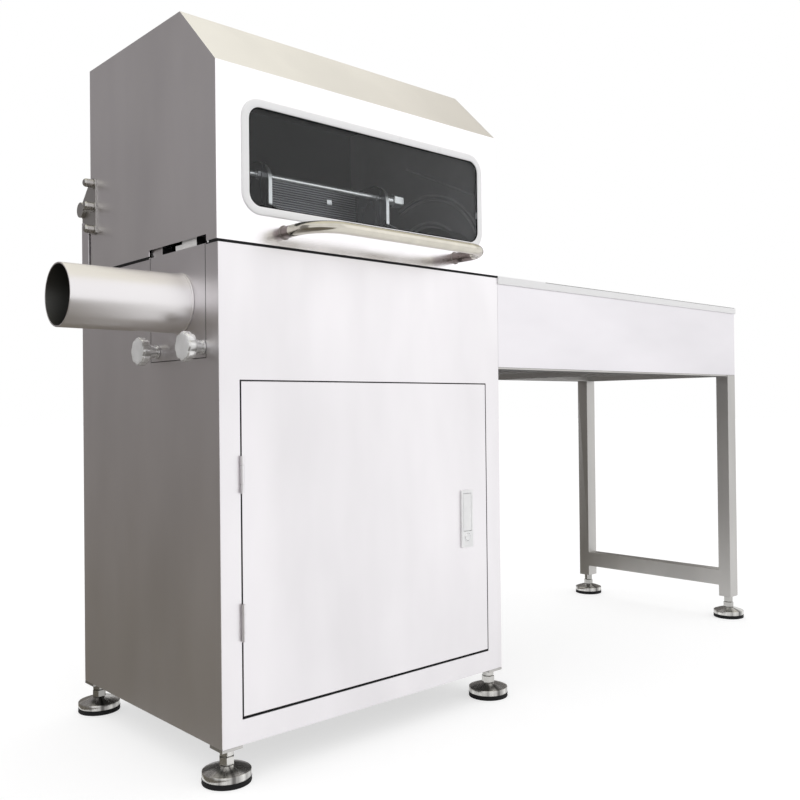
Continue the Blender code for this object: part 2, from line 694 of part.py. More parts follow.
def port_block():
    """The block behind the tube plate, with the bore and two locating lugs."""
    front = PLATE_FRONT + 0.004
    back = PLATE_BACK - 0.004
    base = DECK_TOP + SEAT_GAP
    step_top = CABINET_TOP + PORT_STEP_RISE
    tail = PLATE_BACK + REAR_LUG_TAIL
    tail_base = HOOD_BOTTOM + 0.001
    outline = [(front, base), (front, PORT_TOP)]
    outline += [(PLATE_FRONT + FRONT_LUG_START, PORT_TOP), (PLATE_FRONT + FRONT_LUG_START, PORT_LUG_TOP)]
    outline += [(PLATE_FRONT + FRONT_LUG_END, PORT_LUG_TOP), (PLATE_FRONT + FRONT_LUG_END, step_top)]
    outline += [(PLATE_FRONT + FRONT_STEP_END, step_top), (PLATE_FRONT + FRONT_STEP_END, PORT_TOP)]
    outline += [(PLATE_BACK - REAR_LUG_LENGTH, PORT_TOP), (PLATE_BACK - REAR_LUG_LENGTH, PORT_LUG_TOP)]
    outline += [(tail, PORT_LUG_TOP), (tail, tail_base), (back, tail_base), (back, base)]
    block = prism(outline, "x", PORT_LEFT, PORT_RIGHT)
    bore_start = (PORT_LEFT - 0.01, TUBE_AXIS_Y, TUBE_AXIS_Z)
    cut(block, rod(bore_start, (PORT_RIGHT + 0.01, TUBE_AXIS_Y, TUBE_AXIS_Z), BORE_RADIUS, BORE_SIDES))
    return keep(block, "port_block", "chamber_steel", smooth_below=30)


def loading_trough():
    """The bore between port and guard, open at the top between the cheeks."""
    start = (TROUGH_START, TUBE_AXIS_Y, TUBE_AXIS_Z)
    trough = sleeve(start, TROUGH_END - TROUGH_START, "x", TUBE_RADIUS, BORE_RADIUS, BORE_SIDES)
    low = (CHAMBER_LEFT, TUBE_AXIS_Y - 2 * TUBE_RADIUS, TUBE_AXIS_Z)
    high = (CHAMBER_RIGHT, TUBE_AXIS_Y + 2 * TUBE_RADIUS, TUBE_AXIS_Z + 2 * TUBE_RADIUS)
    cut(trough, box(low, high))
    return keep(trough, "loading_trough", "chamber_steel", smooth_below=30)


def cheek(name, left, groove_side):
    """A cheek plate that carries the trough, the tie rod and the press guide."""
    round_centre = (CHEEK_FRONT + CHEEK_ROUND, CHEEK_TOP - CHEEK_ROUND)
    back_centre = (CHEEK_BACK - CHEEK_ROUND, CHEEK_TOP - CHEEK_ROUND)
    shoulder_drop = 0.023
    outline = [
        (CHEEK_FOOT_FRONT, DECK_TOP + SEAT_GAP),
        (CHEEK_FOOT_BACK, DECK_TOP + SEAT_GAP),
        (CHEEK_FOOT_BACK, CHEEK_SHOULDER - 2 * shoulder_drop),
        (CHEEK_BACK, CHEEK_SHOULDER),
    ]
    outline += arc(back_centre, CHEEK_ROUND, 0, 90, 6)
    outline += arc(round_centre, CHEEK_ROUND, 90, 180, 6)
    outline += [
        (CHEEK_FRONT, CHEEK_SHOULDER),
        (CHEEK_FOOT_FRONT, CHEEK_SHOULDER - shoulder_drop),
    ]
    plate = prism(outline, "x", left, left + CHEEK_THICKNESS)
    trough_start = (left - 0.01, TUBE_AXIS_Y, TUBE_AXIS_Z)
    trough_end = (left + CHEEK_THICKNESS + 0.01, TUBE_AXIS_Y, TUBE_AXIS_Z)
    tie_start = (left - 0.01, TIE_Y, TIE_Z)
    tie_end = (left + CHEEK_THICKNESS + 0.01, TIE_Y, TIE_Z)
    trough_hole = rod(trough_start, trough_end, TUBE_RADIUS + SEAT_GAP, BORE_SIDES)
    tie_hole = rod(tie_start, tie_end, TIE_RADIUS + SEAT_GAP)
    groove_left = left + CHEEK_THICKNESS - GROOVE_DEPTH if groove_side == "right" else left - 0.001
    groove_low = (groove_left, PRESS_PLATE_Y - RUN_GAP, DECK_TOP - 0.01)
    groove_back = PRESS_PLATE_Y + PRESS_PLATE_THICKNESS + RUN_GAP
    groove_high = (groove_left + GROOVE_DEPTH + 0.001, groove_back, PRESS_PLATE_TOP + RUN_GAP)
    cut(plate, trough_hole, tie_hole, box(groove_low, groove_high))
    return keep(plate, name, "chamber_steel", smooth_below=30)


def tie_rod():
    """The bar that ties the cheeks together, with its nuts."""
    left_face = LEFT_CHEEK_X - SEAT_GAP
    right_face = RIGHT_CHEEK_X + CHEEK_THICKNESS + SEAT_GAP
    profile = [
        (left_face - SMALL_NUT - TIE_STUB, 0),
        (left_face - SMALL_NUT - TIE_STUB, TIE_STUB_RADIUS),
        (left_face - SMALL_NUT, TIE_STUB_RADIUS),
        (left_face - SMALL_NUT, SMALL_NUT_RADIUS),
        (left_face, SMALL_NUT_RADIUS),
        (left_face, TIE_RADIUS),
        (right_face, TIE_RADIUS),
        (right_face, TIE_COLLAR_RADIUS),
        (right_face + TIE_COLLAR, TIE_COLLAR_RADIUS),
        (right_face + TIE_COLLAR, BIG_NUT_RADIUS),
        (right_face + TIE_COLLAR + BIG_NUT, BIG_NUT_RADIUS),
        (right_face + TIE_COLLAR + BIG_NUT, 0),
    ]
    bar = turned(profile, (0, TIE_Y, TIE_Z), "x", SMALL_SIDES)
    return keep(bar, "tie_rod", "polished_steel", smooth_below=40)


def ram_guard():
    """The arched guard over the ram's entry, with a raised rim round its face."""
    def arch(radius, inset, left, right):
        points = [(GUARD_Y + radius, DECK_TOP + SEAT_GAP + inset)]
        points += arc((GUARD_Y, GUARD_SPRING_Z), radius, 0, 180, 20)
        points += [(GUARD_Y - radius, DECK_TOP + SEAT_GAP + inset)]
        return prism(points, "x", left, right)

    guard_right = CABINET_WIDTH - RIM_WIDTH - SEAT_GAP
    guard = arch(GUARD_RADIUS, 0, GUARD_LEFT, guard_right)
    cut(guard, arch(GUARD_RADIUS - GUARD_RIM, GUARD_RIM, GUARD_LEFT - 0.01, GUARD_LEFT + GUARD_RIM))
    bore_start = (GUARD_LEFT - 0.01, TUBE_AXIS_Y, TUBE_AXIS_Z)
    bore = rod(bore_start, (guard_right + 0.01, TUBE_AXIS_Y, TUBE_AXIS_Z), RAM_ROD_RADIUS + RUN_GAP, ROUND_SIDES)
    cut(guard, bore)
    return keep(guard, "ram_guard", "chamber_steel", smooth_below=30)


def hood_outline(inset, bottom):
    """The hood's side outline, drawn inside its outer faces by an inset."""
    slope = inset * math.tan(math.radians(22.5))
    return [
        (HOOD_SETBACK + inset, bottom),
        (HOOD_REAR - inset, bottom),
        (HOOD_REAR - inset, HOOD_TOP - inset),
        (HOOD_SETBACK + HOOD_CHAMFER + slope, HOOD_TOP - inset),
        (HOOD_SETBACK + inset, HOOD_SHOULDER - slope),
    ]


def glass_outline(growth):
    """The window's outline in x and z, grown by a distance on every side."""
    low = (GLASS_LEFT - growth, HOOD_BOTTOM + GLASS_ABOVE_SPLIT - growth)
    high = (GLASS_RIGHT + growth, HOOD_BOTTOM + GLASS_ABOVE_SPLIT + GLASS_HEIGHT + growth)
    return rounded_rectangle(low, high, GLASS_RADIUS + growth)


def hood_shell():
    """The hinged sheet hood, with its window opening and the notch over the port."""
    hood = prism(hood_outline(0, HOOD_BOTTOM), "x", 0, CABINET_WIDTH)
    cut(hood, prism(hood_outline(HOOD_SHEET, HOOD_BOTTOM - 0.1), "x", HOOD_SHEET, CABINET_WIDTH - HOOD_SHEET))
    cut(hood, prism(glass_outline(SEAT_GAP), "y", HOOD_SETBACK - 0.01, HOOD_SETBACK + 0.01))
    near = PLATE_FRONT - NOTCH_BEFORE_PLATE
    far = PLATE_BACK + NOTCH_PAST_PLATE
    notch = [(far, HOOD_BOTTOM - 0.01), (far, HOOD_BOTTOM + NOTCH_HEIGHT - NOTCH_RADIUS)]
    corner = (far - NOTCH_RADIUS, HOOD_BOTTOM + NOTCH_HEIGHT - NOTCH_RADIUS)
    notch += arc(corner, NOTCH_RADIUS, 0, 90, 4)
    notch += [(near, HOOD_BOTTOM + NOTCH_HEIGHT), (near, HOOD_BOTTOM - 0.01)]
    cut(hood, prism(notch, "x", -0.01, 0.01))
    return keep(hood, "hood_shell", "hood_steel", "hood")


def window_frame():
    """The raised trim round the window."""
    front = HOOD_SETBACK - SEAT_GAP
    trim = prism(glass_outline(FRAME_WIDTH), "y", front - FRAME_THICKNESS, front)
    cut(trim, prism(glass_outline(0), "y", front - 0.01, front + 0.01))
    return keep(trim, "window_frame", "white_trim", "hood", smooth_below=30)


def window_pane():
    """The clear pane in the hood's opening."""
    pane = prism(glass_outline(0), "y", HOOD_SETBACK, HOOD_SETBACK + GLASS_THICKNESS)
    return keep(pane, "window_pane", "window_glass", "hood", smooth_below=30)


def hood_handle():
    """The bent tube handle, swept along a path with two round bends."""
    wall = HOOD_SETBACK - SEAT_GAP
    bar = HOOD_SETBACK - HANDLE_STANDOFF
    left = HANDLE_LEFT
    right = HANDLE_RIGHT
    path = [(left, wall)]
    path += arc((left + HANDLE_BEND, bar + HANDLE_BEND), HANDLE_BEND, 180, 270, 8)
    path += arc((right - HANDLE_BEND, bar + HANDLE_BEND), HANDLE_BEND, 270, 360, 8)
    path += [(right, wall)]
    curve = bpy.data.curves.new("handle_path", "CURVE")
    curve.dimensions = "3D"
    curve.bevel_depth = HANDLE_RADIUS
    curve.bevel_resolution = 3
    curve.use_fill_caps = True
    spline = curve.splines.new("POLY")
    spline.points.add(len(path) - 1)
    for point, (x, y) in zip(spline.points, path):
        point.co = (x, y, HOOD_BOTTOM + HANDLE_ABOVE_SPLIT, 1.0)
    swept = bpy.data.objects.new("handle_path", curve)
    bpy.context.scene.collection.objects.link(swept)
    graph = bpy.context.evaluated_depsgraph_get()
    mesh = bpy.data.meshes.new_from_object(swept.evaluated_get(graph))
    bpy.data.objects.remove(swept)
    welder = bmesh.new()
    welder.from_mesh(mesh)
    bmesh.ops.remove_doubles(welder, verts=welder.verts, dist=SEAT_GAP / 10)
    bmesh.ops.recalc_face_normals(welder, faces=welder.faces)
    welder.to_mesh(mesh)
    welder.free()
    handle = bpy.data.objects.new("hood_handle", mesh)
    bpy.context.scene.collection.objects.link(handle)
    return keep(handle, "hood_handle", "polished_steel", "hood", smooth_below=60)


def hinge_ear(name, inner, outer):
    """A three-cornered ear bolted to the hood's side, with the pin hole in its nose."""
    front = HOOD_REAR - EAR_ON_HOOD
    low = PIVOT_Z - EAR_HEIGHT / 2
    high = PIVOT_Z + EAR_HEIGHT / 2
    outline = [(front, low), (HOOD_REAR - 0.004, low)]
    outline += arc((PIVOT_Y, PIVOT_Z), EAR_NOSE_RADIUS, -50, 50, 8)
    outline += [(HOOD_REAR - 0.004, high), (front, high)]
    ear = prism(outline, "x", min(inner, outer), max(inner, outer))
    start = (min(inner, outer) - 0.01, PIVOT_Y, PIVOT_Z)
    end = (max(inner, outer) + 0.01, PIVOT_Y, PIVOT_Z)
    cut(ear, rod(start, end, PIN_RADIUS + SEAT_GAP, ROUND_SIDES))
    return keep(ear, name, "frame_steel", "hood", smooth_below=30)


def hinge_bracket(name, lug_left, head_left, head_right):
    """A lug on the rear column with the hinge pin and its round head."""
    base = COLUMN_TOP + SEAT_GAP
    outline = [(PIVOT_Y - LUG_RADIUS, base), (PIVOT_Y + LUG_RADIUS, base)]
    outline += arc((PIVOT_Y, PIVOT_Z), LUG_RADIUS, 0, 180, 10)
    lug = prism(outline, "x", lug_left, lug_left + LUG_THICKNESS)
    inner = lug_left + LUG_THICKNESS / 2
    outer = (head_left + head_right) / 2
    pin = rod((min(inner, outer), PIVOT_Y, PIVOT_Z), (max(inner, outer), PIVOT_Y, PIVOT_Z), PIN_RADIUS, ROUND_SIDES)
    head = rod((head_left, PIVOT_Y, PIVOT_Z), (head_right, PIVOT_Y, PIVOT_Z), PIN_HEAD_RADIUS, ROUND_SIDES)
    fuse(lug, pin, head)
    return keep(lug, name, "polished_steel", smooth_below=30)


def hood_hinges():
    """The ears and brackets on both sides."""
    left_outer = -SEAT_GAP - EAR_THICKNESS
    hinge_ear("left_hinge_ear", -SEAT_GAP, left_outer)
    left_head = left_outer - SEAT_GAP
    hinge_bracket("left_hinge_bracket", SEAT_GAP, left_head - PIN_HEAD_THICKNESS, left_head)
    right_outer = CABINET_WIDTH + SEAT_GAP + EAR_THICKNESS
    hinge_ear("right_hinge_ear", CABINET_WIDTH + SEAT_GAP, right_outer)
    right_head = right_outer + SEAT_GAP
    right_lug = CABINET_WIDTH - SEAT_GAP - LUG_THICKNESS
    hinge_bracket("right_hinge_bracket", right_lug, right_head, right_head + PIN_HEAD_THICKNESS)


def door_hinge_heights():
    """The middle heights of the lower and the upper door hinge."""
    return DOOR_BOTTOM + KNUCKLE_INSET, DOOR_TOP - KNUCKLE_INSET


def door_hinge(name, height):
    """The fixed half of a door hinge: middle knuckle, pin and leaf."""
    quarter = KNUCKLE_LENGTH / 4
    knuckle = rod((HINGE_X, HINGE_Y, height - quarter), (HINGE_X, HINGE_Y, height + quarter), KNUCKLE_RADIUS)
    pin = rod((HINGE_X, HINGE_Y, height - 2 * quarter), (HINGE_X, HINGE_Y, height + 2 * quarter), HINGE_PIN_RADIUS)
    leaf_left = SHEET + POST + 2 * SEAT_GAP
    leaf_low = (leaf_left, HINGE_Y, height - quarter + LEAF_THICKNESS)
    leaf = box(leaf_low, (leaf_left + LEAF_THICKNESS, LEAF_DEPTH, height + quarter - LEAF_THICKNESS))
    fuse(knuckle, pin, leaf)
    return keep(knuckle, name, "polished_steel", smooth_below=30)


def door_panel():
    """The tray-folded door, with the lock's cut-out and its half of the hinges."""
    panel = box((DOOR_LEFT, 0, DOOR_BOTTOM), (DOOR_RIGHT, DOOR_THICKNESS, DOOR_TOP))
    tray_low = (DOOR_LEFT + SHEET, SHEET, DOOR_BOTTOM + SHEET)
    tray_high = (DOOR_RIGHT - SHEET, DOOR_THICKNESS + 0.01, DOOR_TOP - SHEET)
    wall = LOCK_CASE_WALL - SEAT_GAP
    case_low = (LOCK_LEFT + wall, -0.01, LOCK_BOTTOM + wall)
    case_high = (LOCK_RIGHT - wall, 0.01, LOCK_TOP - wall)
    cut(panel, box(tray_low, tray_high), box(case_low, case_high))
    quarter = KNUCKLE_LENGTH / 4
    web_left = DOOR_LEFT + 0.0004
    web_right = HINGE_X + KNUCKLE_RADIUS - 0.0004
    turn_start = math.degrees(math.acos((web_left - HINGE_X) / KNUCKLE_RADIUS))
    turn_end = 360 + math.degrees(math.acos((web_right - HINGE_X) / KNUCKLE_RADIUS))
    outline = [(web_right, SHEET / 2), (web_left, SHEET / 2)]
    outline += arc((HINGE_X, HINGE_Y), KNUCKLE_RADIUS, turn_start, turn_end, 10)
    for height in door_hinge_heights():
        for start in (height - 2 * quarter, height + quarter + RUN_GAP):
            end = start + quarter - RUN_GAP
            hole_start = (HINGE_X, HINGE_Y, start - 0.01)
            hole = rod(hole_start, (HINGE_X, HINGE_Y, end + 0.01), HINGE_PIN_RADIUS + RUN_GAP)
            fuse(panel, cut(prism(outline, "z", start, end), hole))
    return keep(panel, "door_panel", "cabinet_steel", "door")


def lock_housing():
    """The flush lock's plate and case, with the lever's recess and the button's bore."""
    front = -SEAT_GAP
    plate = prism(
        rounded_rectangle((LOCK_LEFT, LOCK_BOTTOM), (LOCK_RIGHT, LOCK_TOP), 0.003, 3),
        "y",
        front - LOCK_PROUD,
        front,
    )
    case_low = (LOCK_LEFT + LOCK_CASE_WALL, front - LOCK_PROUD / 2, LOCK_BOTTOM + LOCK_CASE_WALL)
    case_high = (LOCK_RIGHT - LOCK_CASE_WALL, DOOR_THICKNESS - SHEET, LOCK_TOP - LOCK_CASE_WALL)
    fuse(plate, box(case_low, case_high))
    recess_low = (LOCK_LEFT + 0.005, front - LOCK_PROUD - 0.01, LEVER_TOP - LEVER_LENGTH - 0.001)
    recess_high = (LOCK_RIGHT - 0.005, front - LOCK_PROUD + LEVER_THICKNESS + 0.004, LEVER_TOP + 0.001)
    bore_start = (LOCK_X, -0.02, BUTTON_Z)
    bore_end = (LOCK_X, DOOR_THICKNESS, BUTTON_Z)
    cut(plate, box(recess_low, recess_high), rod(bore_start, bore_end, BUTTON_RADIUS + RUN_GAP, ROUND_SIDES))
    return keep(plate, "lock_housing", "lock_silver", "door")


def lock_lever():
    """The pull lever that lies flush in the lock and swings out at its foot."""
    front = -SEAT_GAP - LOCK_PROUD
    low = (LOCK_LEFT + 0.0058, front, LEVER_TOP - LEVER_LENGTH)
    lever = box(low, (LOCK_RIGHT - 0.0058, front + LEVER_THICKNESS, LEVER_TOP))
    return keep(lever, "lock_lever", "lock_silver", "lever")


def lock_button():
    """The sprung push button under the lever."""
    front = -SEAT_GAP - LOCK_PROUD - 0.0015
    button = rod((LOCK_X, front, BUTTON_Z), (LOCK_X, BUTTON_BACK, BUTTON_Z), BUTTON_RADIUS, ROUND_SIDES)
    return keep(button, "lock_button", "lock_silver", "button", smooth_below=30)


def lock_keeper():
    """The plate on the front right post that the catch turns behind, with its lower edge bevelled."""
    low = BUTTON_Z - KEEPER_HEIGHT / 2
    high = BUTTON_Z + KEEPER_HEIGHT / 2
    outline = [
        (KEEPER_FRONT, low),
        (KEEPER_BACK - KEEPER_BEVEL, low),
        (KEEPER_BACK, low + KEEPER_BEVEL),
        (KEEPER_BACK, high),
        (KEEPER_FRONT, high),
    ]
    end = RIGHT_POST_X - SEAT_GAP
    return keep(prism(outline, "x", end - KEEPER_REACH, end), "lock_keeper", "frame_steel")


def lock_cam():
    """The catch behind the door, on a hub in the lock's bore, hanging in its released place."""
    back = KEEPER_BACK + RUN_GAP
    outline = arc((LOCK_X, BUTTON_Z), CAM_WIDTH / 2, 0, 180, 8)
    outline += [
        (LOCK_X - CAM_WIDTH / 2, BUTTON_Z - CAM_LENGTH),
        (LOCK_X + CAM_WIDTH / 2, BUTTON_Z - CAM_LENGTH),
    ]
    cam = prism(outline, "y", back, back + CAM_THICKNESS)
    hub_start = (LOCK_X, BUTTON_BACK + BUTTON_TRAVEL + SEAT_GAP, BUTTON_Z)
    fuse(cam, rod(hub_start, (LOCK_X, back + CAM_THICKNESS / 2, BUTTON_Z), BUTTON_RADIUS, ROUND_SIDES))
    return keep(cam, "lock_cam", "frame_steel", "cam", smooth_below=30)


def tube_plate():
    """The flush plate that carries the stuffing tube, with its bore and screw holes."""
    plate = box((0, PLATE_FRONT, PLATE_BOTTOM), (PLATE_THICKNESS, PLATE_BACK, PLATE_TOP))
    bore_start = (-0.01, TUBE_AXIS_Y, TUBE_AXIS_Z)
    cut(plate, rod(bore_start, (PLATE_THICKNESS + 0.01, TUBE_AXIS_Y, TUBE_AXIS_Z), BORE_RADIUS, BORE_SIDES))
    for y in KNOB_YS.values():
        hole = rod((-0.01, y, KNOB_Z), (PLATE_THICKNESS + 0.01, y, KNOB_Z), KNOB_SCREW_RADIUS + RUN_GAP)
        cut(plate, hole)
    return keep(plate, "tube_plate", "cabinet_steel", "tube", smooth_below=30)


def stuffing_tube():
    """The tube that the casing is drawn over, with its collar at the plate."""
    edge = 0.0008
    base = -SEAT_GAP
    profile = [
        (base, BORE_RADIUS),
        (-TUBE_LENGTH + edge, BORE_RADIUS),
        (-TUBE_LENGTH, BORE_RADIUS + edge),
        (-TUBE_LENGTH, TUBE_RADIUS - edge),
        (-TUBE_LENGTH + edge, TUBE_RADIUS),
        (base - COLLAR_LENGTH, TUBE_RADIUS),
        (base - COLLAR_LENGTH, COLLAR_RADIUS),
        (base, COLLAR_RADIUS),
    ]
    tube = turned(profile, (0, TUBE_AXIS_Y, TUBE_AXIS_Z), "x", BORE_SIDES, closed_ring=True)
    return keep(tube, "stuffing_tube", "tube_steel", "tube", smooth_below=50)


def plate_knob(side):
    """A lobed hand knob with a tapered neck and the screw that holds the plate."""
    y = KNOB_YS[side]
    face = -SEAT_GAP - KNOB_NECK - KNOB_THICKNESS
    outline = []
    steps = KNOB_LOBES * KNOB_STEPS
    for step in range(steps):
        angle = 2 * math.pi * step / steps
        radius = KNOB_RADIUS - KNOB_LOBE_DEPTH * (1 - abs(math.cos(KNOB_LOBES * angle / 2))) ** 0.8
        outline.append((y + radius * math.cos(angle), KNOB_Z + radius * math.sin(angle)))
    head = prism(outline, "x", face, face + KNOB_THICKNESS)
    neck_profile = [
        (face + KNOB_THICKNESS - 0.002, 0),
        (face + KNOB_THICKNESS - 0.002, KNOB_RADIUS - 2 * KNOB_LOBE_DEPTH - 0.003),
        (face + KNOB_THICKNESS + 0.002, KNOB_RADIUS - 2 * KNOB_LOBE_DEPTH - 0.004),
        (face + KNOB_THICKNESS + KNOB_NECK - 0.006, KNOB_NECK_RADIUS),
        (-SEAT_GAP, KNOB_NECK_RADIUS),
        (-SEAT_GAP, 0),
    ]
    neck = turned(neck_profile, (0, y, KNOB_Z), "x", ROUND_SIDES)
    screw_end = PLATE_THICKNESS + KNOB_SCREW_LENGTH - 0.002
    screw = rod((-SEAT_GAP - 0.004, y, KNOB_Z), (screw_end, y, KNOB_Z), KNOB_SCREW_RADIUS)
    fuse(head, neck, screw)
    return keep(head, side + "_knob", "polished_steel", side + "_knob", smooth_below=35)


def press_plate():
    """The guided plate that lowers the shoe, with its tongue, lug and piston rod."""
    left = CHAMBER_LEFT - GROOVE_DEPTH + RUN_GAP
    right = CHAMBER_RIGHT + GROOVE_DEPTH - RUN_GAP
    back = PRESS_PLATE_Y + PRESS_PLATE_THICKNESS
    plate = box((left, PRESS_PLATE_Y, PRESS_PLATE_BOTTOM), (right, back, PRESS_PLATE_TOP))
    half = TONGUE_WIDTH / 2
    tongue = box((CHAMBER_MIDDLE - half, PRESS_PLATE_Y, TONGUE_BOTTOM), (CHAMBER_MIDDLE + half, back, PRESS_PLATE_BOTTOM + 0.01))
    lug_high = (CHAMBER_MIDDLE + half / 2, PRESS_CYLINDER_Y + PRESS_ROD_RADIUS + 0.006, TONGUE_BOTTOM + PRESS_LUG_THICKNESS)
    lug = box((CHAMBER_MIDDLE - half / 2, PRESS_PLATE_Y, TONGUE_BOTTOM), lug_high)
    rod_top = DECK_UNDERSIDE - 0.045
    piston_rod = rod(
        (CHAMBER_MIDDLE, PRESS_CYLINDER_Y, TONGUE_BOTTOM + PRESS_LUG_THICKNESS / 2),
        (CHAMBER_MIDDLE, PRESS_CYLINDER_Y, rod_top),
        PRESS_ROD_RADIUS,
    )
    fuse(plate, tongue, lug, piston_rod)
    return keep(plate, "press_plate", "chamber_steel", "press")


def press_shoe():
    """The half-round shoe that closes the trough, with its arm to the plate."""
    axis_z = TUBE_AXIS_Z + PRESS_STROKE
    outer = BORE_RADIUS + SHOE_WALL
    outline = arc((TUBE_AXIS_Y, axis_z), outer, 0, 180, 20)
    outline[0] = (outline[0][0], SHOE_BOTTOM)
    outline[-1] = (outline[-1][0], SHOE_BOTTOM)
    left = CHAMBER_LEFT + SHOE_SIDE_GAP
    right = CHAMBER_RIGHT - SHOE_SIDE_GAP
    shoe = prism(outline, "x", left, right)
    arm_low = (left, TUBE_AXIS_Y, axis_z + outer - 0.004)
    arm = box(arm_low, (right, PRESS_PLATE_Y - SEAT_GAP, axis_z + outer - 0.004 + SHOE_ARM_HEIGHT))
    fuse(shoe, arm)
    bore_start = (left - 0.01, TUBE_AXIS_Y, axis_z)
    cut(shoe, rod(bore_start, (right + 0.01, TUBE_AXIS_Y, axis_z), BORE_RADIUS, BORE_SIDES))
    return keep(shoe, "press_shoe", "chamber_steel", "press", smooth_below=30)


def press_cylinder():
    """The short cylinder under the deck that pulls the press down."""
    top = DECK_UNDERSIDE
    bottom = top - PRESS_CYLINDER_LENGTH
    bore = PRESS_CYLINDER_RADIUS - PRESS_CYLINDER_WALL
    profile = [
        (bottom, PRESS_ROD_RADIUS + RUN_GAP),
        (bottom, PRESS_CYLINDER_RADIUS),
        (top, PRESS_CYLINDER_RADIUS),
        (top, 0),
    ]
    inside = [
        (bottom + 0.012, 0),
        (bottom + 0.012, bore),
        (top - 0.010, bore),
        (top - 0.010, 0),
    ]
    profile = [(bottom, 0)] + profile[1:]
    centre = (CHAMBER_MIDDLE, PRESS_CYLINDER_Y, 0)
    body = turned(profile, centre, "z", ROUND_SIDES)
    throat_start = (CHAMBER_MIDDLE, PRESS_CYLINDER_Y, bottom - 0.01)
    throat = rod(throat_start, (CHAMBER_MIDDLE, PRESS_CYLINDER_Y, bottom + 0.02), PRESS_ROD_RADIUS + RUN_GAP)
    cut(body, fuse(turned(inside, centre, "z", ROUND_SIDES), throat))
    return keep(body, "press_cylinder", "drive_aluminium", smooth_below=30)


def ram():
    """The pusher head, and the rod with its piston."""
    radius = BORE_RADIUS - RAM_HEAD_CLEARANCE
    edge = 0.003
    end = RAM_HEAD_START + RAM_HEAD_LENGTH
    profile = [
        (RAM_HEAD_START, 0),
        (RAM_HEAD_START, radius - edge),
        (RAM_HEAD_START + edge, radius),
        (end, radius),
        (end, 0),
    ]
    head = turned(profile, (0, TUBE_AXIS_Y, TUBE_AXIS_Z), "x", BORE_SIDES)
    keep(head, "ram_head", "ram_plastic", "ram", smooth_below=30)
    piston_right = BARREL_RIGHT - 0.012
    rod_profile = [
        (end + SEAT_GAP, 0),
        (end + SEAT_GAP, RAM_ROD_RADIUS),
        (piston_right - PISTON_LENGTH, RAM_ROD_RADIUS),
        (piston_right - PISTON_LENGTH, BARREL_RADIUS - BARREL_WALL - RUN_GAP),
        (piston_right, BARREL_RADIUS - BARREL_WALL - RUN_GAP),
        (piston_right, 0),
    ]
    shaft = turned(rod_profile, (0, TUBE_AXIS_Y, TUBE_AXIS_Z), "x", ROUND_SIDES)
    return keep(shaft, "ram_rod", "polished_steel", "ram", smooth_below=30)


def drive_cylinder():
    """The ram's cylinder in the table box: two heads, the barrel and its cradle."""
    half = HEAD_SIZE / 2
    front_low = (TABLE_LEFT, TUBE_AXIS_Y - half, TUBE_AXIS_Z - half)
    front = box(front_low, (BARREL_LEFT - SEAT_GAP, TUBE_AXIS_Y + half, TUBE_AXIS_Z + half))
    bore_start = (TABLE_LEFT - 0.01, TUBE_AXIS_Y, TUBE_AXIS_Z)
    cut(front, rod(bore_start, (BARREL_LEFT + 0.01, TUBE_AXIS_Y, TUBE_AXIS_Z), RAM_ROD_RADIUS + RUN_GAP, ROUND_SIDES))
    keep(front, "cylinder_front_head", "drive_aluminium", smooth_below=30)
    barrel = sleeve(
        (BARREL_LEFT, TUBE_AXIS_Y, TUBE_AXIS_Z),
        BARREL_LENGTH,
        "x",
        BARREL_RADIUS,
        BARREL_RADIUS - BARREL_WALL,
    )
    keep(barrel, "cylinder_barrel", "drive_aluminium", smooth_below=30)
    rear_left = BARREL_RIGHT + SEAT_GAP
    rear_low = (rear_left, TUBE_AXIS_Y - half, TUBE_AXIS_Z - half)
    rear = box(rear_low, (rear_left + REAR_HEAD_LENGTH, TUBE_AXIS_Y + half, TUBE_AXIS_Z + half))
    keep(rear, "cylinder_rear_head", "drive_aluminium")


def cylinder_cradle():
    """A plate over the table's cross rails with a saddle at each rail."""
    first, last = (CABINET_WIDTH + offset for offset in CRADLE_FROM_CABINET)
    low = (first, TUBE_AXIS_Y - BARREL_RADIUS, RAIL_TOP + SEAT_GAP)
    cradle = box(low, (last, TUBE_AXIS_Y + BARREL_RADIUS, RAIL_TOP + SEAT_GAP + CRADLE_PLATE))
    for left in (first + 0.010, last - 0.010 - CRADLE_THICKNESS):
        saddle_low = (left, TUBE_AXIS_Y - BARREL_RADIUS, RAIL_TOP + SEAT_GAP)
        fuse(cradle, box(saddle_low, (left + CRADLE_THICKNESS, TUBE_AXIS_Y + BARREL_RADIUS, TUBE_AXIS_Z - 0.020)))
    start = (first - 0.01, TUBE_AXIS_Y, TUBE_AXIS_Z)
    cut(cradle, rod(start, (last + 0.01, TUBE_AXIS_Y, TUBE_AXIS_Z), BARREL_RADIUS + SEAT_GAP, ROUND_SIDES))
    return keep(cradle, "cylinder_cradle", "frame_steel")


def table_apron():
    """The three-sided sheet box under the table top, open to the cabinet."""
    apron = box((TABLE_LEFT, 0, APRON_BOTTOM), (TABLE_RIGHT, TABLE_DEPTH, APRON_TOP))
    inside_low = (TABLE_LEFT - 0.01, SHEET, APRON_BOTTOM - 0.01)
    inside_high = (TABLE_RIGHT - SHEET, TABLE_DEPTH - SHEET, APRON_TOP + 0.01)
    cut(apron, box(inside_low, inside_high))
    return keep(apron, "table_apron", "cabinet_steel")


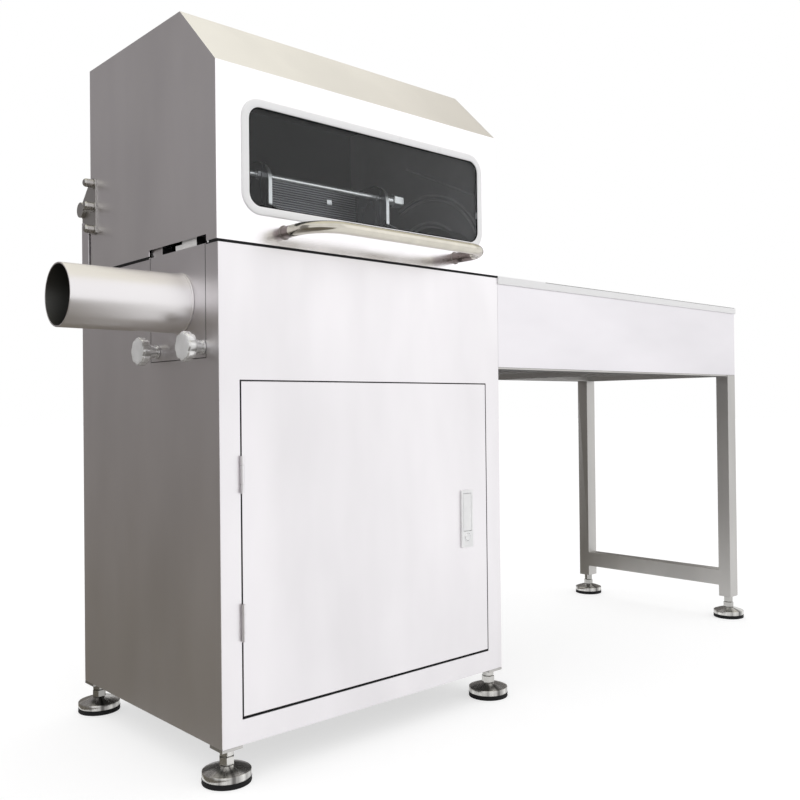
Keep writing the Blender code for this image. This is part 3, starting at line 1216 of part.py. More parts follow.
def table_frame():
    """The table's two legs, their low cross bar, and the ladder of rails that bears the top."""
    leg_left = TABLE_RIGHT - LEG_X
    leg_top = APRON_BOTTOM - SEAT_GAP
    inner = SHEET + SEAT_GAP
    inner_right = TABLE_RIGHT - inner
    inner_back = TABLE_DEPTH - inner
    front_leg = box((leg_left, 0, CABINET_BOTTOM), (TABLE_RIGHT, LEG_Y, leg_top))
    rear_leg = box((leg_left, TABLE_DEPTH - LEG_Y, CABINET_BOTTOM), (TABLE_RIGHT, TABLE_DEPTH, leg_top))
    post_top = APRON_TOP - 0.0005
    front_stub = box((leg_left, inner, leg_top - 0.01), (inner_right, LEG_Y, post_top))
    rear_stub = box((leg_left, TABLE_DEPTH - LEG_Y, leg_top - 0.01), (inner_right, inner_back, post_top))
    cross_high = (leg_left + RAIL, TABLE_DEPTH - LEG_Y / 2, CROSS_BAR_BOTTOM + CROSS_BAR_HEIGHT)
    cross_bar = box((leg_left, LEG_Y / 2, CROSS_BAR_BOTTOM), cross_high)
    front_rail = box((TABLE_LEFT, inner, RAIL_BOTTOM), (inner_right - 0.01, inner + RAIL, RAIL_TOP))
    rear_rail = box((TABLE_LEFT, inner_back - RAIL, RAIL_BOTTOM), (inner_right - 0.01, inner_back, RAIL_TOP))
    frame = front_leg
    fuse(frame, rear_leg, front_stub, rear_stub, cross_bar, front_rail, rear_rail)
    rail_lefts = [TABLE_LEFT, leg_left]
    rail_lefts += [CABINET_WIDTH + offset - RAIL / 2 for offset in CRADLE_FROM_CABINET]
    for left in rail_lefts:
        fuse(frame, box((left, inner + RAIL / 2, RAIL_BOTTOM), (left + RAIL, inner_back - RAIL / 2, RAIL_TOP)))
    for name in ("table_front", "table_rear"):
        cut(frame, stem_hole(name))
    return keep(frame, "table_frame", "frame_steel")


def table_top():
    """The flat top on the apron, overhanging it a little at the front and the right."""
    low = (TABLE_LEFT, -TOP_OVERHANG, APRON_TOP + SEAT_GAP)
    high = (TABLE_RIGHT + TOP_OVERHANG, TABLE_DEPTH + TOP_OVERHANG, CABINET_TOP + TOP_ABOVE_CABINET)
    top = box(low, high)
    return keep(top, "table_top", "white_trim")


def valve_block():
    """The air valves on the back wall of the lower bay."""
    back = CABINET_DEPTH - SHEET - SEAT_GAP
    right = VALVE_LEFT + VALVE_WIDTH
    block = box((VALVE_LEFT, back - 0.010, VALVE_BOTTOM - 0.020), (right, back, VALVE_BOTTOM + VALVE_HEIGHT + 0.020))
    body_low = (VALVE_LEFT + 0.010, back - VALVE_DEPTH, VALVE_BOTTOM)
    fuse(block, box(body_low, (right - 0.010, back - 0.005, VALVE_BOTTOM + VALVE_HEIGHT / 2)))
    coils = 4
    pitch = (VALVE_WIDTH - 0.020) / coils
    for index in range(coils):
        left = VALVE_LEFT + 0.010 + pitch * index + 0.004
        coil_low = (left, back - VALVE_DEPTH + 0.008, VALVE_BOTTOM + VALVE_HEIGHT / 2 - 0.005)
        fuse(block, box(coil_low, (left + pitch - 0.008, back - 0.012, VALVE_BOTTOM + VALVE_HEIGHT)))
    return keep(block, "valve_block", "dark_plastic")


def levelling_foot(name):
    """A foot: the rubber pad, the domed steel base and the stem with its hexagon."""
    x, y = FOOT_PLACES[name]
    pad_edge = 0.0015
    pad_profile = [
        (0, 0),
        (0, PAD_RADIUS),
        (PAD_HEIGHT - pad_edge, PAD_RADIUS),
        (PAD_HEIGHT, PAD_RADIUS - pad_edge),
        (PAD_HEIGHT, 0),
    ]
    pad = turned(pad_profile, (x, y, 0), "z", FOOT_SIDES)
    keep(pad, name + "_foot_pad", "foot_rubber", origin=(x, y, 0), smooth_below=50)
    base_bottom = PAD_HEIGHT + SEAT_GAP
    socket = STEM_RADIUS + RUN_GAP
    base_profile = [
        (base_bottom, 0),
        (base_bottom, RIM_RADIUS),
        (base_bottom + RIM_HEIGHT, RIM_RADIUS),
        (SOCKET_TOP, DOME_TOP_RADIUS),
        (SOCKET_TOP, socket),
        (SOCKET_TOP - STEM_SOCKET, socket),
        (SOCKET_TOP - STEM_SOCKET, 0),
    ]
    base = turned(base_profile, (x, y, 0), "z", FOOT_SIDES)
    keep(base, name + "_foot_base", "polished_steel", origin=(x, y, base_bottom), smooth_below=50)
    stem_bottom = SOCKET_TOP - STEM_SOCKET + SEAT_GAP
    stem_top = FOOT_HOLDERS[name] + STEM_INSERT
    stem = rod((x, y, stem_bottom), (x, y, stem_top), STEM_RADIUS, SMALL_SIDES)
    hex_bottom = SOCKET_TOP + SEAT_GAP
    fuse(stem, rod((x, y, hex_bottom), (x, y, hex_bottom + HEX_HEIGHT), HEX_RADIUS, 6))
    return keep(stem, name + "_foot_stem", "polished_steel", origin=(x, y, stem_bottom), smooth_below=30)


def build():
    """Clear the scene and model every piece."""
    for leftover in list(bpy.data.objects):
        bpy.data.objects.remove(leftover, do_unlink=True)
    cabinet_shell()
    cabinet_frame()
    deck_plate()
    port_block()
    loading_trough()
    cheek("left_cheek", LEFT_CHEEK_X, "right")
    cheek("right_cheek", RIGHT_CHEEK_X, "left")
    tie_rod()
    ram_guard()
    hood_shell()
    window_frame()
    window_pane()
    hood_handle()
    hood_hinges()
    for name, height in zip(("lower_door_hinge", "upper_door_hinge"), door_hinge_heights()):
        door_hinge(name, height)
    door_panel()
    lock_housing()
    lock_lever()
    lock_button()
    lock_cam()
    lock_keeper()
    tube_plate()
    stuffing_tube()
    plate_knob("front")
    plate_knob("rear")
    press_plate()
    press_shoe()
    press_cylinder()
    ram()
    drive_cylinder()
    cylinder_cradle()
    table_apron()
    table_frame()
    table_top()
    valve_block()
    for name in FOOT_PLACES:
        levelling_foot(name)


build()
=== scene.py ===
"""The looks of a push-type sausage stuffer: its finishes, its fine pieces and a plain studio."""

import logging
import math
from collections.abc import Callable, Sequence
from dataclasses import dataclass, field
from enum import Enum
from functools import cache

import bmesh
import bpy
from mathutils import Matrix, Vector


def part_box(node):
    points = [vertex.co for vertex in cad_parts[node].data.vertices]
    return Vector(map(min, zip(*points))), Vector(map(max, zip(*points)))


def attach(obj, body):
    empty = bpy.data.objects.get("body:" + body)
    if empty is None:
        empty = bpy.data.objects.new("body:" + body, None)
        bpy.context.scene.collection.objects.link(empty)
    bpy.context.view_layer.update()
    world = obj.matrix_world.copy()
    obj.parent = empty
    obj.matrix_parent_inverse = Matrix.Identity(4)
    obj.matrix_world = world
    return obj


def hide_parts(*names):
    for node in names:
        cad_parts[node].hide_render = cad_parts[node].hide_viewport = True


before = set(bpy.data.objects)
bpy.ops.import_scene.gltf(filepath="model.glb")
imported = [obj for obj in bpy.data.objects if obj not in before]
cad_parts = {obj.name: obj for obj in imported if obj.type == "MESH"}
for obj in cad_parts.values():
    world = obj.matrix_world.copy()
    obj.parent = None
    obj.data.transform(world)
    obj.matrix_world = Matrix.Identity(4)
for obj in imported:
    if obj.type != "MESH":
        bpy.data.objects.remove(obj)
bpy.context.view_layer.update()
LOG = logging.getLogger("stuffer")
HAIR = 0.0004  # how far a thin layer sinks into what it lies on
NARROW = 0.004  # a face that is narrower than this is a cut edge of the sheet
FACING = 0.9  # a face looks along an axis when its normal's part is over this
CREASE = 30.0  # an edge that bends more than this, in degrees, is rounded
EVEN = (1.0, 1.0, 1.0)  # no stretch along any axis
WHITE = (1.0, 1.0, 1.0, 1.0)
Piece = bpy.types.Object
Socket = bpy.types.NodeSocket
Outline = Sequence[tuple[float, float]]
Triple = tuple[float, float, float]


class Axis(Enum):
    """The axis that a piece is turned about or drawn along."""

    X = 0
    Y = 1
    Z = 2

    def point(self, along: float, first: float, second: float) -> Vector:
        """Gives the point at a distance along this axis, with its other two coordinates in order."""
        values = [first, second]
        values.insert(self.value, along)
        return Vector(values)


class Slot(Enum):
    """The record's material slots, which the calls here pass along with each piece."""

    CABINET = "cabinet_steel"
    HOOD = "hood_steel"
    FRAME = "frame_steel"
    TUBE = "tube_steel"
    POLISHED = "polished_steel"
    CHAMBER = "chamber_steel"
    WHITE = "white_trim"
    LOCK = "lock_silver"
    DRIVE = "drive_aluminium"
    RUBBER = "foot_rubber"


@dataclass(frozen=True)
class Span:
    """The box of a CAD node at rest, in metres.

    Attributes:
        low: Its lowest corner.
        high: Its highest corner.
    """

    low: Vector
    high: Vector

    @classmethod
    def of(cls, node: str) -> "Span":
        """Measures a node of the frame."""
        low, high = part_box(node)
        return cls(Vector(low), Vector(high))

    @classmethod
    def held(cls, node: str) -> "Span":
        """Gives a dataclass field that measures a node when its class is built."""
        return field(default_factory=lambda: cls.of(node))

    @property
    def middle(self) -> Vector:
        """The centre of the box."""
        return (self.low + self.high) / 2

    @property
    def size(self) -> Vector:
        """The box's three lengths."""
        return self.high - self.low


class Recipe:
    """One material's node tree, put together step by step."""

    def __init__(self, name: str) -> None:
        """Starts a material with a Principled shader and object coordinates."""
        self.material = bpy.data.materials.new(name)
        self.material.use_nodes = True
        self.tree = self.material.node_tree
        self.shader = self.tree.nodes["Principled BSDF"]
        self.output = self.tree.nodes["Material Output"]
        self.place = self.node("ShaderNodeTexCoord").outputs["Object"]

    def node(self, kind: str, **inputs: object) -> bpy.types.Node:
        """Adds a node and sets its inputs, whose names have underscores for spaces."""
        added = self.tree.nodes.new(kind)
        for name, value in inputs.items():
            added.inputs[name.replace("_", " ")].default_value = value
        return added

    def fix(self, **inputs: object) -> None:
        """Sets the shader's own inputs, whose names have underscores for spaces."""
        for name, value in inputs.items():
            self.shader.inputs[name.replace("_", " ")].default_value = value

    def link(self, source: Socket, target: Socket) -> None:
        """Joins two sockets."""
        self.tree.links.new(source, target)

    def noise(self, scale: float, stretch: Sequence[float] = EVEN, detail: float = 2.0) -> Socket:
        """Makes a cloud of values between 0 and 1.

        Args:
            scale: How many clouds lie along a metre.
            stretch: A factor on the scale along each axis.
            detail: How many finer clouds are added.

        Returns:
            The socket with the cloud's value.
        """
        mapping = self.node("ShaderNodeMapping", Scale=tuple(stretch))
        self.link(self.place, mapping.inputs["Vector"])
        cloud = self.node("ShaderNodeTexNoise", Scale=scale, Detail=detail)
        self.link(mapping.outputs["Vector"], cloud.inputs["Vector"])
        return cloud.outputs["Fac"]

    def spread(self, value: Socket, low: float, high: float) -> Socket:
        """Maps a cloud's usual range on to the range from low to high."""
        mapped = self.node("ShaderNodeMapRange", From_Min=0.32, From_Max=0.68, To_Min=low, To_Max=high)
        self.link(value, mapped.inputs["Value"])
        return mapped.outputs["Result"]

    def mix(self, value: Socket, low: Sequence[float], high: Sequence[float]) -> Socket:
        """Gives a colour between two others by a value from 0 to 1."""
        mix = self.tree.nodes.new("ShaderNodeMix")
        mix.data_type = "RGBA"
        mix.inputs["A"].default_value = (*low, 1.0)
        mix.inputs["B"].default_value = (*high, 1.0)
        self.link(value, mix.inputs["Factor"])
        return mix.outputs["Result"]

    def blend(self, value: Socket, dark: Sequence[float], light: Sequence[float]) -> None:
        """Colours the shader between two shades by a cloud's value."""
        self.link(self.mix(self.spread(value, 0.0, 1.0), dark, light), self.shader.inputs["Base Color"])

    def tinge(self, value: Socket, colour: Sequence[float], share: float) -> None:
        """Colours the shader by a cloud, up to a share darker and lighter than a colour."""
        shades = [[min(1.0, part * factor) for part in colour] for factor in (1 - share, 1 + share)]
        self.blend(value, *shades)

    def rough(self, value: Socket, low: float, high: float) -> None:
        """Lets a cloud move the shader's roughness from low to high."""
        self.link(self.spread(value, low, high), self.shader.inputs["Roughness"])

    def relief(self, height: Socket, depth: float, strength: float) -> None:
        """Lets a cloud press the surface in by a depth in metres."""
        bump = self.node("ShaderNodeBump", Distance=depth, Strength=strength)
        self.link(height, bump.inputs["Height"])
        self.link(bump.outputs["Normal"], self.shader.inputs["Normal"])


@dataclass(frozen=True)
class SheetSteel:
    """Stainless steel with a fine grain and slow clouds of brightness.

    Attributes:
        name: The material's name.
        colour: Its middle colour.
        roughness: Its middle roughness.
        clouds: How far the colour wanders to either side, as a share.
        grain: The axis that the fine grain runs along.
        grain_depth: How deep the grain is, in metres.
        cloud_scale: How many clouds lie along a metre.
    """

    name: str
    colour: Triple
    roughness: float
    clouds: float = 0.05
    grain: Axis = Axis.Z
    grain_depth: float = 0.00002
    cloud_scale: float = 5.0

    def material(self) -> bpy.types.Material:
        """Builds the node tree."""
        recipe = Recipe(self.name)
        streak, drift = list(EVEN), list(EVEN)
        streak[self.grain.value] = 0.03
        drift[self.grain.value] = 0.35
        recipe.tinge(recipe.noise(self.cloud_scale, drift, 3.0), self.colour, self.clouds)
        fine = recipe.noise(900.0, streak, 1.0)
        wander = recipe.noise(self.cloud_scale * 2.6, drift)
        recipe.rough(wander, self.roughness - 0.04, self.roughness + 0.04)
        recipe.relief(fine, self.grain_depth, 0.35)
        recipe.fix(Metallic=1.0)
        return recipe.material


@dataclass(frozen=True)
class PolishedSteel:
    """Bright turned steel with fine scratches and slight smears.

    Attributes:
        name: The material's name.
        colour: Its middle colour.
        roughness: Its lowest roughness.
        smear: How much rougher its smears are.
        metal: How metallic it is, less than 1 where it is plated or lacquered.
    """

    name: str
    colour: Triple
    roughness: float
    smear: float = 0.10
    metal: float = 1.0

    def material(self) -> bpy.types.Material:
        """Builds the node tree."""
        recipe = Recipe(self.name)
        smears = recipe.noise(38.0, detail=3.0)
        recipe.tinge(smears, self.colour, 0.05)
        recipe.rough(smears, self.roughness, self.roughness + self.smear)
        recipe.relief(recipe.noise(1600.0, (1.0, 0.05, 1.0), 1.0), 0.00001, 0.2)
        recipe.fix(Metallic=self.metal)
        return recipe.material


@dataclass(frozen=True)
class FacedSteel:
    """Bright steel that was faced in a lathe, with painted reflection: dark and light streaks in its colour
    that run out from its axis.

    Attributes:
        name: The material's name.
        dark: Its colour in the dark streaks of painted reflection.
        light: Its colour in the light streaks of painted reflection.
        roughness: Its lowest roughness.
        centre: A point on its axis.
        axis: The axis that it was turned about.
        metal: How metallic it is, less than 1 where it is plated or lacquered.
        breaks: How finely the streaks are broken up.
    """

    name: str
    dark: Triple
    light: Triple
    roughness: float
    centre: Triple
    axis: Axis = Axis.Z
    metal: float = 1.0
    breaks: float = 4.0

    def material(self) -> bpy.types.Material:
        """Builds the node tree."""
        recipe = Recipe(self.name)
        flat = list(EVEN)
        flat[self.axis.value] = 0.0
        for operation, value in (("SUBTRACT", self.centre), ("MULTIPLY", flat), ("NORMALIZE", None)):
            step = recipe.node("ShaderNodeVectorMath")
            step.operation = operation
            if value is not None:
                step.inputs[1].default_value = value
            recipe.link(recipe.place, step.inputs[0])
            recipe.place = step.outputs["Vector"]
        # painted reflection: streaks of dark and light colour stand in for the turned steel's streaky
        # reflections
        streaks = recipe.noise(2.2, detail=self.breaks)
        recipe.blend(streaks, self.dark, self.light)
        recipe.rough(streaks, self.roughness + 0.08, self.roughness)
        recipe.relief(recipe.noise(60.0, detail=1.0), 0.00003, 0.3)
        recipe.fix(Metallic=self.metal)
        return recipe.material


@dataclass(frozen=True)
class Moulding:
    """Plastic, rubber or paint with a fine stipple.

    Attributes:
        name: The material's name.
        colour: Its middle colour.
        roughness: Its middle roughness.
        stipple: The stipple's depth in metres.
        coat: The strength of a clear gloss over it.
        gloss: How strongly its surface mirrors light.
        mottle: How far its colour wanders to either side, as a share.
    """

    name: str
    colour: Triple
    roughness: float
    stipple: float = 0.00004
    coat: float = 0.0
    gloss: float = 0.5
    mottle: float = 0.06

    def material(self) -> bpy.types.Material:
        """Builds the node tree."""
        recipe = Recipe(self.name)
        patches = recipe.noise(24.0, detail=3.0)
        recipe.tinge(patches, self.colour, self.mottle)
        recipe.rough(patches, self.roughness - 0.05, self.roughness + 0.05)
        recipe.relief(recipe.noise(1200.0, detail=1.0), self.stipple, 0.3)
        recipe.fix(Coat_Weight=self.coat, Specular_IOR_Level=self.gloss)
        return recipe.material


@dataclass(frozen=True)
class ClearPane:
    """A clear window pane whose faint grey tint drifts a little.

    Attributes:
        name: The material's name.
        colour: The tint.
    """

    name: str
    colour: Triple

    def material(self) -> bpy.types.Material:
        """Builds the node tree, which lets lamps shine through."""
        recipe = Recipe(self.name)
        recipe.tinge(recipe.noise(9.0), self.colour, 0.03)
        recipe.fix(Roughness=0.0, Transmission_Weight=1.0, IOR=1.28)
        open_to_lamps = recipe.node("ShaderNodeBsdfTransparent", Color=(*self.colour, 1.0))
        choice = recipe.node("ShaderNodeMixShader")
        ray = recipe.node("ShaderNodeLightPath")
        recipe.link(ray.outputs["Is Shadow Ray"], choice.inputs["Fac"])
        recipe.link(recipe.shader.outputs["BSDF"], choice.inputs[1])
        recipe.link(open_to_lamps.outputs["BSDF"], choice.inputs[2])
        recipe.link(choice.outputs["Shader"], recipe.output.inputs["Surface"])
        return recipe.material


SHEET_SKIN = SheetSteel("satin sheet", (0.83, 0.81, 0.83), 0.40)
HOOD_SKIN = SheetSteel("satin hood front", (0.89, 0.87, 0.89), 0.22)
HOOD_SIDE = SheetSteel("satin hood side", (0.83, 0.81, 0.82), 0.42)
# painted shade: a near-black copy of the hood's steel for its inner faces
HOOD_INSIDE_SHADE = PolishedSteel("shaded hood inside", (0.045, 0.045, 0.047), 0.50, metal=0.3)
# painted shade, less dark than the rest of the inside, for the right wall's inner face
HOOD_WALL_SHADE = PolishedSteel("hood's inner wall", (0.52, 0.50, 0.525), 0.45, metal=0.3)
BEAD_STEEL = PolishedSteel("pressed bead", (0.78, 0.76, 0.78), 0.40, metal=0.3)
# painted shade: near black, for faces that lie in shade
SHADED_RECESS = SheetSteel("shaded recess", (0.022, 0.022, 0.023), 0.60)
# painted shade: a dark copy of the steel for faces that look down
UNDERSIDE_SHADE = SheetSteel("shaded underside", (0.09, 0.088, 0.085), 0.60)
APRON_SKIN = SheetSteel("satin apron sheet", (0.81, 0.79, 0.82), 0.42, grain=Axis.X)
BARE_FRAME = SheetSteel("welded frame", (0.53, 0.52, 0.505), 0.45, clouds=0.08)
CHAMBER_STEEL = SheetSteel("ground chamber steel", (0.34, 0.34, 0.35), 0.34, grain=Axis.X, clouds=0.10)
CHEEK_STEEL = SheetSteel("milled cheek", (0.26, 0.26, 0.27), 0.28, clouds=0.06)
# painted highlight: a far lighter copy of the cheeks' steel for their edges
CHEEK_EDGE_HIGHLIGHT = PolishedSteel("cheek edge in painted highlight", (0.96, 0.96, 0.96), 0.36, smear=0.05)
TIE_STEEL = PolishedSteel("bright tie rod", (0.98, 0.98, 0.98), 0.13, smear=0.05, metal=0.75)
# painted shade: the press plate's steel made near black, standing in for the dark interior that it mirrors
PRESS_PLATE_SHADE = SheetSteel("dark press plate", (0.11, 0.11, 0.12), 0.40, grain=Axis.X, clouds=0.20)
PORT_STEEL = PolishedSteel("machined port block", (0.86, 0.85, 0.84), 0.32, metal=0.25)
TUBE_STEEL = SheetSteel("drawn tube", (0.88, 0.855, 0.865), 0.36, grain=Axis.X, clouds=0.03)
# painted shade: a dark copy of the tube's steel for the inside of its bore
TUBE_BORE_SHADE = SheetSteel("shaded tube bore", (0.10, 0.10, 0.095), 0.50, grain=Axis.X)
BRIGHT_STEEL = PolishedSteel("bright steel", (0.86, 0.85, 0.83), 0.10)
# painted reflection in the stem's dark and light streaks
STEM_STEEL = FacedSteel("plated stem", (0.24, 0.235, 0.225), (0.95, 0.94, 0.91), 0.14, (0.0, 0.0, 0.0))
WARM_STEEL = PolishedSteel("warm bright handle", (0.62, 0.59, 0.52), 0.16, smear=0.06)
# painted shade: a dark brown copy of the handle's steel for its half toward the wall
HANDLE_END_SHADE = PolishedSteel("handle end in painted shade", (0.24, 0.20, 0.19), 0.26, smear=0.10)
KNOB_FACE = PolishedSteel("knurled knob face", (0.86, 0.86, 0.86), 0.40, metal=0.35)
BOLT_STEEL = PolishedSteel("plated bolt", (0.52, 0.51, 0.49), 0.12)
LOCK_SILVER = PolishedSteel("silvered lock", (0.97, 0.97, 0.975), 0.36, metal=0.15)
DRIVE_METAL = SheetSteel("anodised aluminium", (0.72, 0.73, 0.75), 0.38, grain=Axis.X)
WELD = SheetSteel("brushed weld", (0.27, 0.24, 0.23), 0.42, clouds=0.12, cloud_scale=60.0)
WHITE_BOARD = Moulding("white board", (0.975, 0.97, 0.975), 0.45, stipple=0.00002, mottle=0.008)
BOARD_EDGE_LINE = Moulding("grey board edge line", (0.30, 0.30, 0.30), 0.60)
WHITE_TRIM = Moulding("white window trim", (0.98, 0.975, 0.98), 0.32, stipple=0.00002, coat=0.2, mottle=0.015)
# real rubber on the foot pads; the same black is painted shade on the strips at the rim, door and plate and
# on the ring round the pane
BLACK_RUBBER_AND_SHADE = Moulding("black rubber and painted shade", (0.014, 0.014, 0.015), 0.70, gloss=0.15)
DARK_PLASTIC = Moulding("dark plastic", (0.05, 0.05, 0.055), 0.40)
RAM_PLASTIC = Moulding("white ram plastic", (0.86, 0.86, 0.84), 0.42)
PANE = ClearPane("clear pane", (0.80, 0.82, 0.83))

Finish = SheetSteel | PolishedSteel | FacedSteel | Moulding | ClearPane


@cache
def mixed(finish: Finish) -> bpy.types.Material:
    """Builds a finish's material once."""
    return finish.material()


def shaped(name: str, form: bmesh.types.BMesh, sharp: float = 35.0) -> Piece:
    """Makes an object of a closed form and shades it.

    Args:
        name: The piece's name.
        form: The mesh, which is freed.
        sharp: Edges that bend more than this, in degrees, stay crisp.

    Returns:
        The new object.
    """
    bmesh.ops.recalc_face_normals(form, faces=form.faces)
    mesh = bpy.data.meshes.new(name)
    form.to_mesh(mesh)
    form.free()
    mesh.shade_smooth()
    mesh.set_sharp_from_angle(angle=math.radians(sharp))
    piece = bpy.data.objects.new(name, mesh)
    bpy.context.scene.collection.objects.link(piece)
    return piece


def hull(name: str, rings: Sequence[Sequence[Vector]], loop: bool = False, sharp: float = 35.0) -> Piece:
    """Makes a skin over rings of points, with a face on each open end.

    Args:
        name: The piece's name.
        rings: The rings in order, each with one point or with as many as the others.
        loop: Whether the last ring joins the first.
        sharp: Edges that bend more than this, in degrees, stay crisp.

    Returns:
        The new piece.
    """
    form = bmesh.new()
    made = [[form.verts.new(point) for point in ring] for ring in rings]
    pairs = list(zip(made, made[1:]))
    if loop:
        pairs.append((made[-1], made[0]))
    for first, second in pairs:
        count = max(len(first), len(second))
        for step in range(count):
            after = (step + 1) % count
            corners = [first[step % len(first)], first[after % len(first)]]
            corners += [second[after % len(second)], second[step % len(second)]]
            face = list(dict.fromkeys(corners))
            if len(face) > 2:
                form.faces.new(face)
    if not loop:
        for end in (made[0], made[-1]):
            if len(end) > 2:
                form.faces.new(end)
    return shaped(name, form, sharp)


def turned(
    name: str,
    profile: Outline,
    centre: Vector,
    axis: Axis,
    steps: int = 96,
    loop: bool = False,
    sharp: float = 35.0,
    lead: float = 0.0,
) -> Piece:
    """Turns a profile about an axis.

    Args:
        name: The piece's name.
        profile: Points as distance along the axis, in the frame, and radius.
        centre: A point on the axis.
        axis: The axis.
        steps: How many sides the turned piece has.
        loop: Whether the profile closes on itself, as a ring's does.
        sharp: Edges that bend more than this, in degrees, stay crisp.
        lead: The angle that the first side starts at, in degrees.

    Returns:
        The turned piece.
    """
    first, second = [centre[index] for index in range(3) if index != axis.value]
    rings = []
    for along, radius in profile:
        count = steps if radius > 1e-6 else 1
        angles = [2 * math.pi * step / steps + math.radians(lead) for step in range(count)]
        rings.append(
            [axis.point(along, first + radius * math.cos(a), second + radius * math.sin(a)) for a in angles]
        )
    return hull(name, rings, loop, sharp)


def block(name: str, low: Sequence[float], high: Sequence[float], edge: float) -> Piece:
    """Makes a bar or block with rounded edges between two corners."""
    corners = [(low[0], low[1]), (high[0], low[1]), (high[0], high[1]), (low[0], high[1])]
    rings = [[Vector((x, y, height)) for x, y in corners] for height in (low[2], high[2])]
    return eased(hull(name, rings), edge)


def swept(name: str, path: Sequence[Vector], radius: float, sides: int = 28) -> Piece:
    """Sweeps a round section along a path.

    Args:
        name: The piece's name.
        path: The points of the centre line.
        radius: The section's radius.
        sides: How many sides the section has.

    Returns:
        The swept piece, with closed ends.
    """
    rings = []
    across = (path[1] - path[0]).orthogonal().normalized()
    for index, point in enumerate(path):
        ahead = path[min(index + 1, len(path) - 1)] - path[max(index - 1, 0)]
        ahead.normalize()
        across = (across - ahead * across.dot(ahead)).normalized()
        other = ahead.cross(across)
        turns = [2 * math.pi * side / sides for side in range(sides)]
        rings.append([point + (across * math.cos(t) + other * math.sin(t)) * radius for t in turns])
    return hull(name, rings, sharp=50.0)


def arc(centre: tuple[float, float], radius: float, start: float, end: float, steps: int) -> Outline:
    """Gives points along a round arc, from start to end in degrees."""
    angles = [math.radians(start + (end - start) * step / steps) for step in range(steps + 1)]
    return [(centre[0] + radius * math.cos(angle), centre[1] + radius * math.sin(angle)) for angle in angles]


def rounded(low: Sequence[float], high: Sequence[float], radius: float, steps: int) -> Outline:
    """Gives the outline of a rectangle with round corners."""
    left, right = low[0] + radius, high[0] - radius
    under, over = low[1] + radius, high[1] - radius
    corners = ((right, over), (left, over), (left, under), (right, under))
    turns = [(corner, 90 * index) for index, corner in enumerate(corners)]
    return [point for corner, turn in turns for point in arc(corner, radius, turn, turn + 90, steps)]


def eased(piece: Piece, edge: float, segments: int = 3) -> Piece:
    """Rounds a piece's crisp edges with a bevel.

    Args:
        piece: The piece.
        edge: The bevel's width in metres.
        segments: How many strips it has.

    Returns:
        The same piece.
    """
    bevel = piece.modifiers.new("rounded edges", "BEVEL")
    bevel.width = edge
    bevel.segments = segments
    bevel.limit_method = "ANGLE"
    bevel.angle_limit = math.radians(CREASE)
    bevel.miter_outer = "MITER_ARC"
    bevel.harden_normals = True
    return piece


def breadth(face: bmesh.types.BMFace) -> float:
    """Measures how wide a face is across its narrow way."""
    return 2 * face.calc_area() / max(face.calc_perimeter(), 1e-9)


def softened(node: str, name: str, edge: float, folds: bool = False) -> Piece:
    """Copies a CAD node's faces into a clean mesh with rounded edges.

    Args:
        node: The node.
        name: The new piece's name.
        edge: The width of the rounding in metres.
        folds: Whether only folds between wide faces are rounded, so that cut edges stay crisp.

    Returns:
        The new piece.
    """
    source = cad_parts[node].data
    form = bmesh.new()
    corners: dict[tuple[float, ...], bmesh.types.BMVert] = {}
    for polygon in source.polygons:
        points = [source.vertices[index].co for index in polygon.vertices]
        keys = [tuple(round(part, 6) for part in point) for point in points]
        for key, point in zip(keys, points):
            if key not in corners:
                corners[key] = form.verts.new(point)
        face = [corners[key] for key in dict.fromkeys(keys)]
        if len(face) > 2 and form.faces.get(face) is None:
            form.faces.new(face)
    bmesh.ops.dissolve_limit(form, angle_limit=math.radians(0.5), verts=form.verts, edges=form.edges)
    weight = form.edges.layers.float.new("bevel_weight_edge")
    for line in form.edges:
        wide = all(breadth(face) > NARROW for face in line.link_faces)
        line[weight] = 1.0 if wide and line.calc_face_angle(0.0) > math.radians(CREASE) else 0.0
    piece = eased(shaped(name, form), edge, segments=2)
    if folds:
        piece.modifiers[0].limit_method = "WEIGHT"
    return piece


def lined(piece: Piece, finish: Finish, inside: Callable[[bpy.types.MeshPolygon], bool]) -> None:
    """Gives a piece's faces that pass a test one more finish."""
    piece.data.materials.append(mixed(finish))
    for face in piece.data.polygons:
        if inside(face):
            face.material_index = len(piece.data.materials) - 1


def joined(name: str, pieces: Sequence[Piece]) -> Piece:
    """Joins pieces of one finish into one object, with their modifiers applied.

    Args:
        name: The joined piece's name.
        pieces: The pieces, which are removed.

    Returns:
        The joined piece.
    """
    graph = bpy.context.evaluated_depsgraph_get()
    mesh = bpy.data.meshes.new(name)
    form = bmesh.new()
    for piece in pieces:
        solid = bpy.data.meshes.new_from_object(piece.evaluated_get(graph))
        solid.transform(piece.matrix_world)
        form.from_mesh(solid)
        bpy.data.meshes.remove(solid)
        bpy.data.objects.remove(piece)
    form.to_mesh(mesh)
    form.free()
    whole = bpy.data.objects.new(name, mesh)
    bpy.context.scene.collection.objects.link(whole)
    return whole


def placed(piece: Piece, finish: Finish, slot: Slot, body: str, *nodes: str) -> Piece:
    """Dresses a piece, ties it to its body and lets it stand for nodes.

    Args:
        piece: The piece, in the frame.
        finish: Its finish.
        slot: The record's slot that its finish comes from; not used.
        body: The body that it rides on.
        *nodes: The CAD nodes that it replaces.

    Returns:
        The same piece.
    """
    piece.data.materials.clear()
    piece.data.materials.append(mixed(finish))
    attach(piece, body)
    if nodes:
        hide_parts(*nodes)
    LOG.info("%s rides on %s", piece.name, body)
    return piece


def refinished(node: str, finish: Finish) -> None:
    """Gives a CAD node that keeps its shape a better material."""
    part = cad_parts[node]
    if not part.material_slots:
        part.data.materials.append(None)
    for place in part.material_slots:
        place.link = "OBJECT"
        place.material = mixed(finish)
    LOG.info("%s keeps its shape", node)


